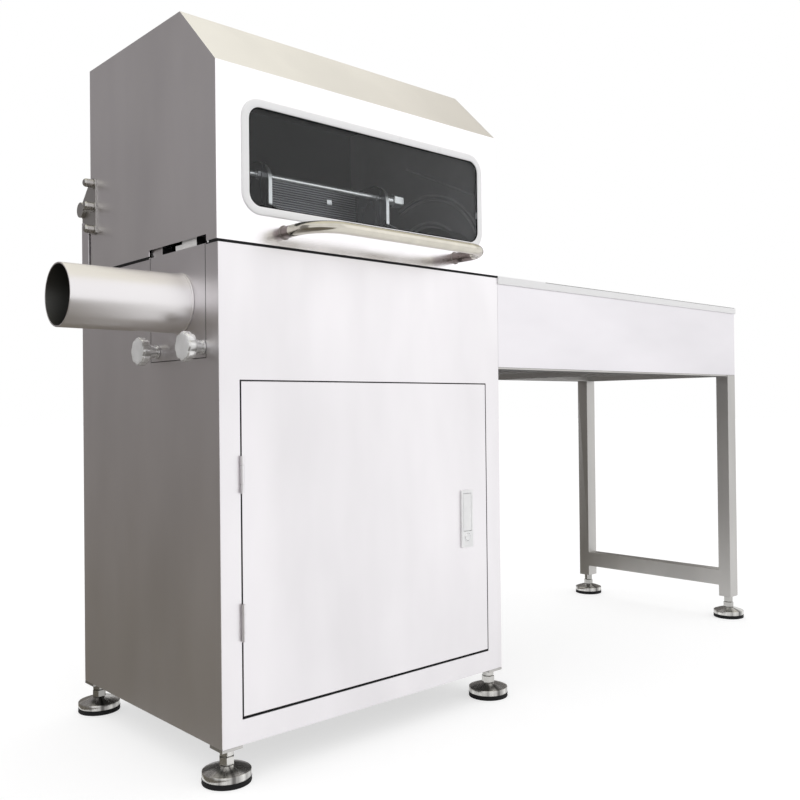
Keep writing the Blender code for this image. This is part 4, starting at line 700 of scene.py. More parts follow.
def hexagon(
    name: str, start: float, end: float, across: float, centre: Vector, axis: Axis, lead: float = 0.0
) -> Piece:
    """Makes a nut or hexagon with chamfered corners.

    Args:
        name: The piece's name.
        start: Where it starts along the axis.
        end: Where it ends.
        across: Its radius over the corners.
        centre: A point on its axis.
        axis: Its axis.
        lead: The angle that its first corner stands at, in degrees.

    Returns:
        The hexagon.
    """
    lean = min(across * 0.12, abs(end - start) / 4)
    way = math.copysign(lean, end - start)
    profile = [(start, 0.0), (start, across - lean), (start + way * 0.6, across)]
    profile += [(end - way * 0.6, across), (end, across - lean), (end, 0.0)]
    return turned(name, profile, centre, axis, steps=6, sharp=20.0, lead=lead)


def domed(name: str, base: float, reach: float, radius: float, centre: Vector, axis: Axis) -> Piece:
    """Makes a washer with a cap on it, which ends in a dome.

    Args:
        name: The piece's name.
        base: Where the washer sits along the axis.
        reach: How far the cap stands out, with its sign.
        radius: The cap's radius.
        centre: A point on its axis.
        axis: Its axis.

    Returns:
        The bolt's head.
    """
    washer = math.copysign(min(0.0022, abs(reach) * 0.16), reach)
    crown = math.copysign(radius * 0.8, reach)
    wall = base + reach - crown
    profile = [(base, 0.0), (base, radius * 1.28), (base + washer * 0.8, radius * 1.28)]
    profile += [(base + washer, radius * 1.20), (base + washer, radius * 0.93), (base + washer * 1.4, radius)]
    for step in range(9):
        turn = math.radians(90 * step / 8)
        profile.append((wall + crown * math.sin(turn), radius * math.cos(turn)))
    return turned(name, profile, centre, axis, steps=40)


def recast(
    node: str, name: str, edge: float, finish: Finish, slot: Slot, body: str, folds: bool = False
) -> Piece:
    """Softens a CAD node's faces and dresses the piece that takes its place.

    Args:
        node: The node.
        name: The new piece's name.
        edge: The width of the rounding in metres.
        finish: Its finish.
        slot: The record's slot that its finish comes from.
        body: The body that it rides on.
        folds: Whether only folds between wide faces are rounded, so that cut edges stay crisp.

    Returns:
        The new piece.
    """
    return placed(softened(node, name, edge, folds), finish, slot, body, node)


@dataclass
class Cabinet:
    """The sheet cabinet, its frame, and black strips of painted shade at its rim and round its door.

    Attributes:
        fold: The radius of the sheet's folds.
        bar_edge: The radius of the frame bars' corners.
        knee: How high over the sheet's lower edge the undersides with painted shade reach.
        rim_rise: How far the rim lies over the tube plate's top.
        hood_clear: How far the black strip at the rim stays under the hood.
        rim_shade_lap: How far the black strip at the rim hangs down over the sheet.
        rim_shade_width: How wide it lies on the rim.
        rim_shade_proud: How far it stands out from the sheet.
        rim_shade_edge: The radius of its corners.
        plate_clear: How far it stays away from the tube plate, before and behind it.
        door_left: How far the door's opening starts from the cabinet's corner.
        door_gap: The width of the gap round the door.
        door_depth: How far the black strips in the door gap lie behind the sheet's front.
        door_clear: How far it stays away from the door.
        door_thick: How thick it is.
        door_reach: How far its long runs reach past the opening's left edge.
        door_stile: How far its left run reaches past that edge.
        door_sill: How far it reaches down under the door.
        door_slack: How far its top and right runs stay inside the gap.
        door_edge: The radius of its corners.
        screw_place: How far the side screw sits behind the front and over the tube plate.
        screw: Its profile, as distances out from the sheet and radii.
        skin, hood, plate, door: The boxes of the sheet, the hood, the tube plate and the door.
    """

    fold: float = 0.0011
    bar_edge: float = 0.0016
    knee: float = 0.02
    rim_rise: float = 0.001
    hood_clear: float = 0.0008
    rim_shade_lap: float = 0.0032
    rim_shade_width: float = 0.011
    rim_shade_proud: float = 0.0006
    rim_shade_edge: float = 0.0004
    plate_clear: tuple[float, float] = (0.004, 0.006)
    door_left: float = 0.0476
    door_gap: float = 0.0026
    door_depth: float = 0.0010
    door_clear: float = 0.0005
    door_thick: float = 0.0030
    door_reach: float = 0.0030
    door_stile: float = 0.0012
    door_sill: float = 0.0045
    door_slack: float = 0.0002
    door_edge: float = 0.0003
    screw_place: tuple[float, float] = (0.0336, 0.0014)
    screw: Outline = ((0.0, 0.0), (0.0, 0.0022), (0.0010, 0.0020), (0.0014, 0.0012), (0.0015, 0.0))
    skin: Span = Span.held("cabinet_shell")
    hood: Span = Span.held("hood_shell")
    plate: Span = Span.held("tube_plate")
    door: Span = Span.held("door_panel")

    def build(self) -> None:
        """Makes the skin, the frame and the black strips of painted shade."""
        recast("cabinet_shell", "cabinet_skin", self.fold, SHEET_SKIN, Slot.CABINET, "root", folds=True)
        bars = recast("cabinet_frame", "cabinet_bars", self.bar_edge, BARE_FRAME, Slot.FRAME, "root")
        knee = self.skin.low.z + self.knee
        # painted shade on the frame bars' downward faces near the floor
        lined(bars, UNDERSIDE_SHADE, lambda face: face.normal.z < -FACING and face.center.z < knee)
        # painted shade: a black strip at the split line under the hood
        placed(self.rim_shade(), BLACK_RUBBER_AND_SHADE, Slot.RUBBER, "root")
        # painted shade: black strips darken the gap round the door
        placed(self.door_gap_shade(), BLACK_RUBBER_AND_SHADE, Slot.RUBBER, "root")
        placed(self.side_screw(), LOCK_SILVER, Slot.POLISHED, "root")
        refinished("lock_keeper", BARE_FRAME)
        refinished("valve_block", DARK_PLASTIC)
        refinished("press_cylinder", DRIVE_METAL)

    def side_screw(self) -> Piece:
        """Turns the small round-headed screw at the rim of the left side."""
        left = self.skin.low.x
        behind, over = self.screw_place
        centre = Vector((left, self.skin.low.y + behind, self.plate.high.z + over))
        profile = [(left - out, radius) for out, radius in self.screw]
        return turned("side_screw", profile, centre, Axis.X, steps=32)

    def rim_shade(self) -> Piece:
        """Laps a black strip of painted shade over the cabinet's rim at the split line, open where the tube
        plate stands.
        """
        rim = self.plate.high.z + self.rim_rise
        low = rim - self.rim_shade_lap
        top = self.hood.low.z - self.hood_clear
        left, right = self.skin.low.x, self.skin.high.x
        front, back = self.skin.low.y, self.hood.high.y - HAIR
        before = self.plate.low.y - self.plate_clear[0]
        behind = self.plate.high.y + self.plate_clear[1]
        wide, proud = self.rim_shade_width, self.rim_shade_proud
        runs = [
            ((left, right), (front, front + wide), (left - proud, right + proud), (front - proud, front)),
            ((right - wide, right), (front, back), (right, right + proud), (front - proud, back)),
            ((left, left + wide), (behind, back), (left - proud, left), (behind - proud, back)),
            ((left, left + wide), (front, before), (left - proud, left), (front - proud, before)),
        ]
        bars = []
        for rim_x, rim_y, lip_x, lip_y in runs:
            for (a, b), (c, d), foot, edge in (
                (rim_x, rim_y, rim, self.rim_shade_edge),
                (lip_x, lip_y, low, self.rim_shade_edge / 2),
            ):
                bars.append(block("rim_shade_run", (a, c, foot), (b, d, top), edge))
        return joined("rim_shade_strip", bars)

    def door_gap_shade(self) -> Piece:
        """Lays black strips of painted shade in the gap round the door."""
        low, high = self.door.low, self.door.high
        gap, clear = self.door_gap, self.door_clear
        inner = gap - self.door_slack
        left = self.skin.low.x + self.door_left
        near = self.skin.low.y + self.door_depth
        far = near + self.door_thick
        runs = [
            ((left - self.door_reach, low.z - self.door_sill), (high.x + gap, low.z - clear)),
            ((left - self.door_reach, high.z + clear), (high.x + gap, high.z + inner)),
            ((left - self.door_stile, low.z - clear), (left - clear, high.z + clear)),
            ((high.x + clear, low.z - clear), (high.x + inner, high.z + clear)),
        ]
        bars = [block("door_gap_shade_run", (a, near, b), (c, far, d), self.door_edge) for (a, b), (c, d) in runs]
        return joined("door_gap_shade", bars)


@dataclass
class Hood:
    """The hinged hood with its window, its handle and its two ears.

    Attributes:
        fold: The radius of the sheet's folds.
        corner: The radius of the pane's corners.
        trim_step: The height of the trim's soft edge.
        shade_ring: The width of the black ring of painted shade round the pane.
        bend: The radius of the handle's two bends.
        leg: How far from the wall the handle's sections stand on its straight legs.
        tint: How far nearer the wall the painted shade starts on the left leg than on the right.
        weld_radius: The radius of the bead where the handle meets the wall.
        bead: The radius of the stiffening beads in the right wall.
        bead_depth: How deep their middle lies under the wall's outside.
        arches: The radii of the arched beads.
        arch_centre: Where their centre lies from the shell's low corner, in y and z.
        arch_turn: Where they start and end, in degrees.
        stripe: The two ends of the straight bead, in y and z from the same corner.
        bolt_rises: How far the ear's bolts sit over its middle.
        bolt_inset: How far they sit behind its front edge.
        bolt_reach: How far they stand out.
        bolt_radius: The radius of their caps.
        shell, trim, pane, handle: The boxes of the hood, the window's trim, its pane and the handle.
    """

    fold: float = 0.0009
    corner: float = 0.026
    trim_step: float = 0.0014
    shade_ring: float = 0.0022
    bend: float = 0.068
    leg: tuple[float, ...] = (0.0, 0.008, 0.016, 0.024, 0.032)
    tint: float = 0.035
    weld_radius: float = 0.0024
    bead: float = 0.0032
    bead_depth: float = 0.0046
    arches: tuple[float, ...] = (0.130, 0.142, 0.200, 0.212)
    arch_centre: tuple[float, float] = (0.241, 0.022)
    arch_turn: tuple[float, float] = (62, 172)
    stripe: Outline = ((0.070, 0.2075), (0.310, 0.3190))
    bolt_rises: tuple[float, ...] = (-0.052, 0.0, 0.052)
    bolt_inset: float = 0.011
    bolt_reach: float = 0.0245
    bolt_radius: float = 0.0094
    shell: Span = Span.held("hood_shell")
    trim: Span = Span.held("window_frame")
    pane: Span = Span.held("window_pane")
    handle: Span = Span.held("hood_handle")

    def build(self) -> None:
        """Makes every piece of the hood."""
        self.cover()
        placed(self.window_trim(), WHITE_TRIM, Slot.WHITE, "hood", "window_frame")
        # painted shade: a black ring round the pane stands in for the trim edge's shadow
        placed(self.window_shade_ring(), BLACK_RUBBER_AND_SHADE, Slot.RUBBER, "hood")
        refinished("window_pane", PANE)
        bar = placed(self.bar(), WARM_STEEL, Slot.POLISHED, "hood", "hood_handle")
        # painted shade on the handle's half toward the wall
        lined(bar, HANDLE_END_SHADE, self.in_wall_shade)
        placed(self.beads(), WELD, Slot.POLISHED, "hood")
        for side in ("left", "right"):
            self.hinge(side)

    def in_wall_shade(self, face: bpy.types.MeshPolygon) -> bool:
        """Tells whether a face of the handle lies toward the wall, in the part that takes painted shade."""
        middle = self.handle.middle
        return face.center.y > (middle.y if face.center.x > middle.x else middle.y + self.tint)

    def cover(self) -> None:
        """Makes the hood's sheet, with painted shade on its inner faces."""
        cover = recast("hood_shell", "hood_skin", self.fold, HOOD_SKIN, Slot.HOOD, "hood", folds=True)
        middle = self.shell.middle
        lined(cover, HOOD_SIDE, lambda face: abs(face.normal.x) > FACING)
        # painted shade on the hood's inner faces
        lined(cover, HOOD_INSIDE_SHADE, lambda face: face.normal.dot(face.center - middle) < 0)
        # the right wall's inner face takes a lighter painted shade
        lined(cover, HOOD_WALL_SHADE, lambda face: face.normal.x < -FACING and face.center.x > middle.x)
        placed(self.wall_beads(), BEAD_STEEL, Slot.HOOD, "hood")

    def wall_beads(self) -> Piece:
        """Presses the arched stiffening beads into the right wall's inner face."""
        wall = self.shell.high.x - self.bead_depth
        base = self.shell.low
        centre = (base.y + self.arch_centre[0], base.z + self.arch_centre[1])
        lines = [arc(centre, radius, *self.arch_turn, 36) for radius in self.arches]
        lines.append([(base.y + y, base.z + z) for y, z in self.stripe])
        paths = [[Axis.X.point(wall, *point) for point in line] for line in lines]
        return joined("wall_beads", [swept("bead", path, self.bead, 12) for path in paths])

    def ring(self, growth: float, depth: float) -> list[Vector]:
        """Gives the window's outline, grown by a distance, at a depth before the hood's front."""
        low = (self.pane.low.x - growth, self.pane.low.z - growth)
        high = (self.pane.high.x + growth, self.pane.high.z + growth)
        front = self.trim.high.y - depth
        return [Axis.Y.point(front, x, z) for x, z in rounded(low, high, self.corner + growth, 14)]

    def window_trim(self) -> Piece:
        """Makes the raised trim with soft edges."""
        wide = self.pane.low.x - self.trim.low.x
        thick = self.trim.size.y
        step = self.trim_step
        section = [(0.0, 0.0), (0.0, thick - step)]
        section += [(step - step * math.cos(t), thick - step + step * math.sin(t)) for t in (0.5, 1.0)]
        section += [(step, thick), (wide - 2.5 * step, thick)]
        section += [(wide - 1.2 * step, thick * 0.82), (wide - 0.4 * step, thick * 0.45), (wide, 0.0)]
        rings = [self.ring(growth, depth) for growth, depth in section]
        return hull("window_trim", rings, loop=True, sharp=50.0)

    def window_shade_ring(self) -> Piece:
        """Makes the black ring round the pane inside the trim, painted shade for the shadow of the trim's
        edge.
        """
        inset = -self.shade_ring
        section = [(-HAIR, 0.0), (-HAIR, 0.0012), (inset / 2, 0.0017), (inset, 0.0010), (inset, 0.0)]
        rings = [self.ring(growth, depth) for growth, depth in section]
        return hull("window_shade_ring", rings, loop=True, sharp=60.0)

    def bar(self) -> Piece:
        """Bends the handle's tube along its two round corners."""
        radius = self.handle.size.z / 2
        bend = self.bend
        left = self.handle.low.x + radius
        right = self.handle.high.x - radius
        front = self.handle.low.y + radius
        leg = [self.handle.high.y - reach for reach in self.leg]
        points = [(left, y) for y in leg]
        points += arc((left + bend, front + bend), bend, 180, 270, 20)
        points += arc((right - bend, front + bend), bend, 270, 360, 20)
        points += [(right, y) for y in reversed(leg)]
        height = self.handle.middle.z
        return swept("handle_bar", [Vector((x, y, height)) for x, y in points], radius, 40)

    def beads(self) -> Piece:
        """Lays a weld bead round each foot of the handle."""
        radius = self.handle.size.z / 2
        weld = self.weld_radius
        wall = self.handle.high.y
        profile = [(wall, radius - HAIR), (wall - weld, radius - HAIR)]
        profile += [(wall - weld * 0.5, radius + weld * 0.55), (wall, radius + weld)]
        beads = []
        for x in (self.handle.low.x + radius, self.handle.high.x - radius):
            centre = Vector((x, wall, self.handle.middle.z))
            beads.append(turned("bead", profile, centre, Axis.Y, steps=48, loop=True))
        return joined("handle_beads", beads)

    def hinge(self, side: str) -> None:
        """Makes one side's ear, its three bolts and the bracket with its domed pin.

        Args:
            side: "left" or "right".
        """
        span = Span.of(f"{side}_hinge_ear")
        outer, reach = (span.low.x, -self.bolt_reach) if side == "left" else (span.high.x, self.bolt_reach)
        recast(f"{side}_hinge_ear", f"{side}_ear", 0.0006, BARE_FRAME, Slot.FRAME, "hood")
        bolts = []
        for rise in self.bolt_rises:
            centre = Vector((0.0, span.low.y + self.bolt_inset, span.middle.z + rise))
            bolts.append(domed("bolt", outer, reach, self.bolt_radius, centre, Axis.X))
        placed(joined(f"{side}_ear_bolts", bolts), BOLT_STEEL, Slot.POLISHED, "hood")
        recast(f"{side}_hinge_bracket", f"{side}_pin_bracket", 0.0016, BOLT_STEEL, Slot.POLISHED, "root")


@dataclass
class Door:
    """The tray door with its hinges and its flush lock.

    Attributes:
        fold: The radius of the tray's folds.
        dish: The button's face, as depths behind its front and shares of its radius.
        ring: The section of the ring round it, as heights over the lock's face and growths.
        ring_clear: How far the ring stays away from the button.
        housing, button: The boxes of the lock's housing and of its button.
    """

    fold: float = 0.0010
    dish: Outline = ((0.0009, 0.0), (0.0006, 0.5), (0.0, 0.78), (0.0003, 0.93), (0.0012, 1.0))
    ring: Outline = ((-HAIR, 0.0), (0.0006, 0.0003), (0.0006, 0.0016), (-HAIR, 0.0021))
    ring_clear: float = 0.0007
    housing: Span = Span.held("lock_housing")
    button: Span = Span.held("lock_button")

    def build(self) -> None:
        """Makes every piece of the door."""
        recast("door_panel", "door_tray", self.fold, SHEET_SKIN, Slot.CABINET, "door", folds=True)
        recast("lock_housing", "lock_case", 0.0007, LOCK_SILVER, Slot.LOCK, "door")
        recast("lock_lever", "pull_lever", 0.0009, LOCK_SILVER, Slot.LOCK, "lock_lever")
        placed(self.push_button(), LOCK_SILVER, Slot.LOCK, "lock_button", "lock_button")
        placed(self.button_ring(), LOCK_SILVER, Slot.LOCK, "door")
        refinished("lock_cam", BARE_FRAME)
        for name in ("upper_door_hinge", "lower_door_hinge"):
            recast(name, f"{name}_pin", 0.0003, SHEET_SKIN, Slot.POLISHED, "root")

    def push_button(self) -> Piece:
        """Makes the button with a shallow dish in its face."""
        radius = self.button.size.x / 2
        front, back = self.button.low.y, self.button.high.y
        profile = [(front + depth, radius * share) for depth, share in self.dish]
        profile += [(back, radius), (back, 0.0)]
        return turned("push_button", profile, self.button.middle, Axis.Y, steps=48)

    def button_ring(self) -> Piece:
        """Makes the bright ring round the button."""
        radius = self.button.size.x / 2 + self.ring_clear
        face = self.housing.low.y
        section = [(face - height, radius + growth) for height, growth in self.ring]
        return turned("button_ring", section, self.button.middle, Axis.Y, steps=48, loop=True)


@dataclass
class Port:
    """The tube plate, the stuffing tube, the port block and the two hand knobs.

    Attributes:
        line: The width of the black line of painted shade round the plate.
        line_proud: How far it stands out from the plate.
        line_edge: The radius of its corners.
        bore: The tube's inner radius.
        outside: The tube's outer radius.
        lip: The rounding of the tube's mouth.
        collar: The collar's section, as distances from the tube's foot and growths.
        rear_lug: Where the rear lug starts, as a share of the plate's width.
        lobes: How many lobes a knob has.
        lobe_depth: How deep the hollows between the lobes are.
        lobe_steps: How many sides each lobe has.
        head: The knob's lobed head, as distances behind its face and shares of its radius.
        neck: The round neck behind it, in the same way.
        screw: The knob's screw, as where it starts behind the face and its radius.
        rim: How far behind the knob's face its knurled part reaches.
        tube, plate: The boxes of the tube and of its plate.
    """

    line: float = 0.0006
    line_proud: float = 0.0003
    line_edge: float = 0.0001
    bore: float = 0.055
    outside: float = 0.058
    lip: float = 0.0011
    collar: Outline = ((0.0052, 0.0), (0.0042, 0.0004))
    rear_lug: float = 0.66
    lobes: int = 8
    lobe_depth: float = 0.0026
    lobe_steps: int = 12
    head: Outline = (
        (0.0000, 0.62), (0.0004, 0.80), (0.0014, 0.93), (0.0036, 0.995), (0.0060, 1.0),
        (0.0140, 1.0), (0.0168, 0.985), (0.0190, 0.93), (0.0200, 0.84),
    )
    neck: Outline = (
        (0.0202, 0.50), (0.0212, 0.50), (0.0214, 0.62), (0.0230, 0.62), (0.0300, 0.50),
        (0.0386, 0.41), (0.0392, 0.41), (0.0394, 0.50), (0.0438, 0.50), (0.0441, 0.46),
    )
    screw: tuple[float, float] = (0.0442, 0.004)
    rim: float = 0.0012
    tube: Span = Span.held("stuffing_tube")
    plate: Span = Span.held("tube_plate")

    def build(self) -> None:
        """Makes every piece at the port."""
        recast("tube_plate", "port_plate", 0.0007, SHEET_SKIN, Slot.CABINET, "tube_unit", folds=True)
        # painted shade: a thin black line darkens the gap round the plate
        placed(self.plate_gap_shade(), BLACK_RUBBER_AND_SHADE, Slot.RUBBER, "tube_unit")
        barrel = placed(self.barrel(), TUBE_STEEL, Slot.TUBE, "tube_unit", "stuffing_tube")
        axis = self.tube.middle
        inside = self.bore + HAIR / 2
        # painted shade inside the tube's bore
        lined(barrel, TUBE_BORE_SHADE, lambda face: (face.center - axis).yz.length < inside)
        for side in ("front", "rear"):
            self.knob(side)
        self.port_block()

    def port_block(self) -> None:
        """Makes the port block; its lugs' front faces over the plate take painted shade, and the rear lug's
        left faces take the hood side's steel, which looks grey there.
        """
        body = recast("port_block", "port_block_body", 0.0012, PORT_STEEL, Slot.CHAMBER, "root")
        rim = self.plate.high.z
        rear = self.plate.low.y + self.rear_lug * self.plate.size.y
        # painted shade on the lugs' front faces over the plate
        lined(body, SHADED_RECESS, lambda face: face.normal.y < -FACING and face.center.z > rim)
        lined(
            body,
            HOOD_SIDE,
            lambda face: face.normal.x < -FACING and face.center.y > rear and face.center.z > rim,
        )

    def plate_gap_shade(self) -> Piece:
        """Lays the thin black line of painted shade in the gap round the plate, open at its top."""
        low, high = self.plate.low, self.plate.high
        near, far = low.x - self.line_proud, low.x + self.line_proud
        half = self.line / 2
        runs = [
            ((low.y - half, low.z - half), (high.y + half, low.z + half)),
            ((low.y - half, low.z + half), (low.y + half, high.z)),
            ((high.y - half, low.z + half), (high.y + half, high.z)),
        ]
        bars = [block("line", (near, a, b), (far, c, d), self.line_edge) for (a, b), (c, d) in runs]
        return joined("plate_gap_shade", bars)

    def barrel(self) -> Piece:
        """Turns the stuffing tube, with a soft lip and a ground collar."""
        bore, radius, lip = self.bore, self.outside, self.lip
        collar = self.tube.size.y / 2
        mouth, base = self.tube.low.x, self.tube.high.x
        profile = [(base, bore), (mouth + lip, bore)]
        profile += [(mouth + 0.3 * lip, bore + 0.3 * lip), (mouth, bore + lip), (mouth, radius - lip)]
        profile += [(mouth + 0.3 * lip, radius - 0.3 * lip), (mouth + lip, radius)]
        profile += [(base - away, radius + growth) for away, growth in self.collar]
        profile += [(base - 0.0038, collar - 0.0006), (base - 0.0032, collar)]
        profile += [(base - 0.0004, collar), (base, collar - 0.0003)]
        return turned("stuffing_barrel", profile, self.tube.middle, Axis.X, steps=160, loop=True, sharp=50.0)

    def knob(self, side: str) -> None:
        """Makes a lobed knob with rounded lobes, a tapered neck and its screw.

        Args:
            side: "front" or "rear".
        """
        span = Span.of(f"{side}_knob")
        reach = span.size.y / 2
        face = span.low.x
        centre = Vector((face, span.middle.y, span.middle.z))
        rings = []
        for depth, share in self.head:
            hollow = self.lobe_depth * min(1.0, max(0.0, (share - 0.6) / 0.35))
            rings.append(self.lobed(face + depth, centre, reach * share, hollow))
        rings += [self.lobed(face + depth, centre, reach * share) for depth, share in self.neck]
        start, radius = self.screw
        rings += [self.lobed(along, centre, radius) for along in (face + start, span.high.x)]
        knob = hull(f"{side}_hand_knob", rings, sharp=50.0)
        # painted reflection: dark and light streaks on the knob
        plated = FacedSteel(
            f"plated {side} knob", (0.50, 0.495, 0.49), (1.0, 0.995, 0.99), 0.15, tuple(centre), Axis.X, 0.55
        )
        placed(knob, plated, Slot.POLISHED, f"{side}_knob", f"{side}_knob")
        lined(knob, KNOB_FACE, lambda surface: surface.center.x < face + self.rim)

    def lobed(self, along: float, centre: Vector, radius: float, hollow: float = 0.0) -> list[Vector]:
        """Gives a ring of points with hollows between its lobes."""
        points = []
        steps = self.lobes * self.lobe_steps
        for step in range(steps):
            turn = 2 * math.pi * step / steps
            reach = radius - hollow * (1 - abs(math.cos(self.lobes * turn / 2)))
            y, z = reach * math.cos(turn), reach * math.sin(turn)
            points.append(Vector((along, centre.y + y, centre.z + z)))
        return points


@dataclass
class Table:
    """The table at the right, with its apron, top and frame, and the drive in it.

    Attributes:
        fold: The radius of the apron's folds.
        bar_edge: The radius of the frame tubes' corners.
        board_edge: The radius of the board's edges.
        head_edge: The radius of the cylinder heads' edges.
        edge_line_left: How far the grey line starts from the board's left end.
        edge_line_right: How far it stops before the right end.
        board: The box of the board.
    """

    fold: float = 0.0011
    bar_edge: float = 0.0026
    board_edge: float = 0.0005
    head_edge: float = 0.0020
    edge_line_left: float = 0.18
    edge_line_right: float = 0.01
    board: Span = Span.held("table_top")

    def build(self) -> None:
        """Makes every piece of the table and the drive in it."""
        apron = recast("table_apron", "table_box", self.fold, APRON_SKIN, Slot.CABINET, "root", folds=True)
        # painted shade on the apron's downward faces
        lined(apron, UNDERSIDE_SHADE, lambda face: face.normal.z < -0.5)
        legs = recast("table_frame", "table_legs", self.bar_edge, BARE_FRAME, Slot.FRAME, "root")
        middle = self.board.low.z / 2
        # painted shade on the frame's downward faces in its upper half
        lined(legs, UNDERSIDE_SHADE, lambda face: face.normal.z < -FACING and face.center.z > middle)
        recast("table_top", "table_board", self.board_edge, WHITE_BOARD, Slot.WHITE, "root")
        placed(self.edge_line(), BOARD_EDGE_LINE, Slot.WHITE, "root")
        for name in ("cylinder_front_head", "cylinder_rear_head"):
            recast(name, f"{name}_block", self.head_edge, DRIVE_METAL, Slot.DRIVE, "root")
        refinished("cylinder_barrel", DRIVE_METAL)
        refinished("cylinder_cradle", BARE_FRAME)

    def edge_line(self) -> Piece:
        """Lays the thin grey line along the top of the board's front edge."""
        low, high = self.board.low, self.board.high
        start = (low.x + self.edge_line_left, low.y - 0.0003, high.z - 0.0016)
        end = (high.x - self.edge_line_right, low.y + 0.0006, high.z - 0.0002)
        return block("board_edge_line", start, end, 0.0002)


@dataclass
class Chamber:
    """What shows through the window: cheeks, tie rod, press, ram and guard.

    Attributes:
        pitch: The distance from rib to rib on the press plate.
        rib_steps: The first rib's step from the plate's top, and the step after the last.
        rib_height: How high a rib is.
        rib_clear: How far the ribs stay away from the cheeks.
        lug_place: How far the square lug stands from the left cheek.
        lug_width: How wide it is.
        bar: The tie rod's radius between the cheeks.
        stub: Its radius at its left end.
        nut: The small nut's radius over its corners.
        collar: The collar's radius.
        collar_length: How long the collar is.
        big_nut: The big nut's radius over its corners.
        bar_gap: How far the bar runs past the cheeks' outer faces.
        rod, press, left, right: The boxes of the tie rod, the press plate and the two cheeks.
    """

    pitch: float = 0.0054
    rib_steps: tuple[int, int] = (-13, 6)
    rib_height: float = 0.0020
    rib_clear: float = 0.0015
    lug_place: float = 0.2265
    lug_width: float = 0.0150
    bar: float = 0.006
    stub: float = 0.0055
    nut: float = 0.0098
    collar: float = 0.010
    collar_length: float = 0.034
    big_nut: float = 0.0160
    bar_gap: float = 0.0003
    rod: Span = Span.held("tie_rod")
    press: Span = Span.held("press_plate")
    left: Span = Span.held("left_cheek")
    right: Span = Span.held("right_cheek")

    def build(self) -> None:
        """Makes every piece in the chamber."""
        for side in ("left", "right"):
            cheek = recast(f"{side}_cheek", f"{side}_cheek_plate", 0.0006, CHEEK_STEEL, Slot.CHAMBER, "root")
            # painted highlight on the cheeks' edges that face forward, back and up
            lined(cheek, CHEEK_EDGE_HIGHLIGHT, lambda face: abs(face.normal.x) < 0.5 and face.normal.z > -0.5)
        placed(self.tie(), TIE_STEEL, Slot.POLISHED, "root", "tie_rod")
        for node in ("ram_guard", "deck_plate", "loading_trough"):
            refinished(node, CHAMBER_STEEL)
        # painted shade on the press plate and its backing
        recast("press_plate", "press_slide_plate", 0.0012, PRESS_PLATE_SHADE, Slot.CHAMBER, "press")
        placed(self.backing(), PRESS_PLATE_SHADE, Slot.CHAMBER, "press")
        placed(self.ribs(), CHAMBER_STEEL, Slot.CHAMBER, "press")
        placed(self.lug(), TIE_STEEL, Slot.CHAMBER, "press")
        refinished("press_shoe", CHAMBER_STEEL)
        refinished("ram_rod", BRIGHT_STEEL)
        refinished("ram_head", RAM_PLASTIC)

    def rib(self, low: float, high: float, near: float, far: float) -> Piece:
        """Makes a bar along the press plate, between two heights over its top and two depths."""
        left = self.left.high.x + self.rib_clear
        right = self.right.low.x - self.rib_clear
        face = self.press.low.y
        top = self.press.high.z
        return block("rib", (left, face + near, top + low), (right, face + far, top + high), 0.0003)

    def backing(self) -> Piece:
        """Makes the dark bar that stands on the press plate and carries the upper ribs."""
        piece = self.rib(low=0.0, high=0.0330, near=0.0010, far=0.0050)
        piece.name = "press_backing"
        return piece

    def ribs(self) -> Piece:
        """Makes the fine ribs on the press plate and on its backing."""
        lows = [step * self.pitch for step in range(*self.rib_steps)]
        ribs = [self.rib(low, low + self.rib_height, near=-0.0008, far=0.0012) for low in lows]
        return joined("press_ribs", ribs)

    def lug(self) -> Piece:
        """Makes the bright rail and the small lug before the ribs."""
        rail = self.rib(low=-0.0106, high=-0.0090, near=-0.0016, far=0.0004)
        x = self.left.high.x + self.lug_place
        face = self.press.low.y
        top = self.press.high.z
        start = (x, face - 0.0026, top - 0.0040)
        square = block("square", start, (x + self.lug_width, face, top + 0.0085), 0.0008)
        return joined("press_rail", [rail, square])

    def tie(self) -> Piece:
        """Makes the tie rod with its stub, nuts and collar."""
        centre = self.rod.middle
        start, end = self.rod.low.x, self.rod.high.x
        left = self.left.low.x - self.bar_gap
        right = self.right.high.x + self.bar_gap
        stop = right + self.collar_length
        profiles = [
            ("bar", [(left, 0.0), (left, self.bar), (right, self.bar), (right, 0.0)], 40),
            ("stub", [(start, 0.0), (start + 0.001, self.stub), (left, self.stub), (left, 0.0)], 32),
            ("collar", [(right, 0.0), (right, self.collar), (stop, self.collar), (stop + 0.001, 0.0)], 40),
        ]
        bar, stub, collar = (turned(name, line, centre, Axis.X, steps) for name, line, steps in profiles)
        small = hexagon("small", left - 0.009, left - HAIR, self.nut, centre, Axis.X, lead=30.0)
        big = hexagon("big", stop + 0.0012, end, self.big_nut, centre, Axis.X, lead=30.0)
        return joined("chamber_tie", [bar, stub, small, collar, big])


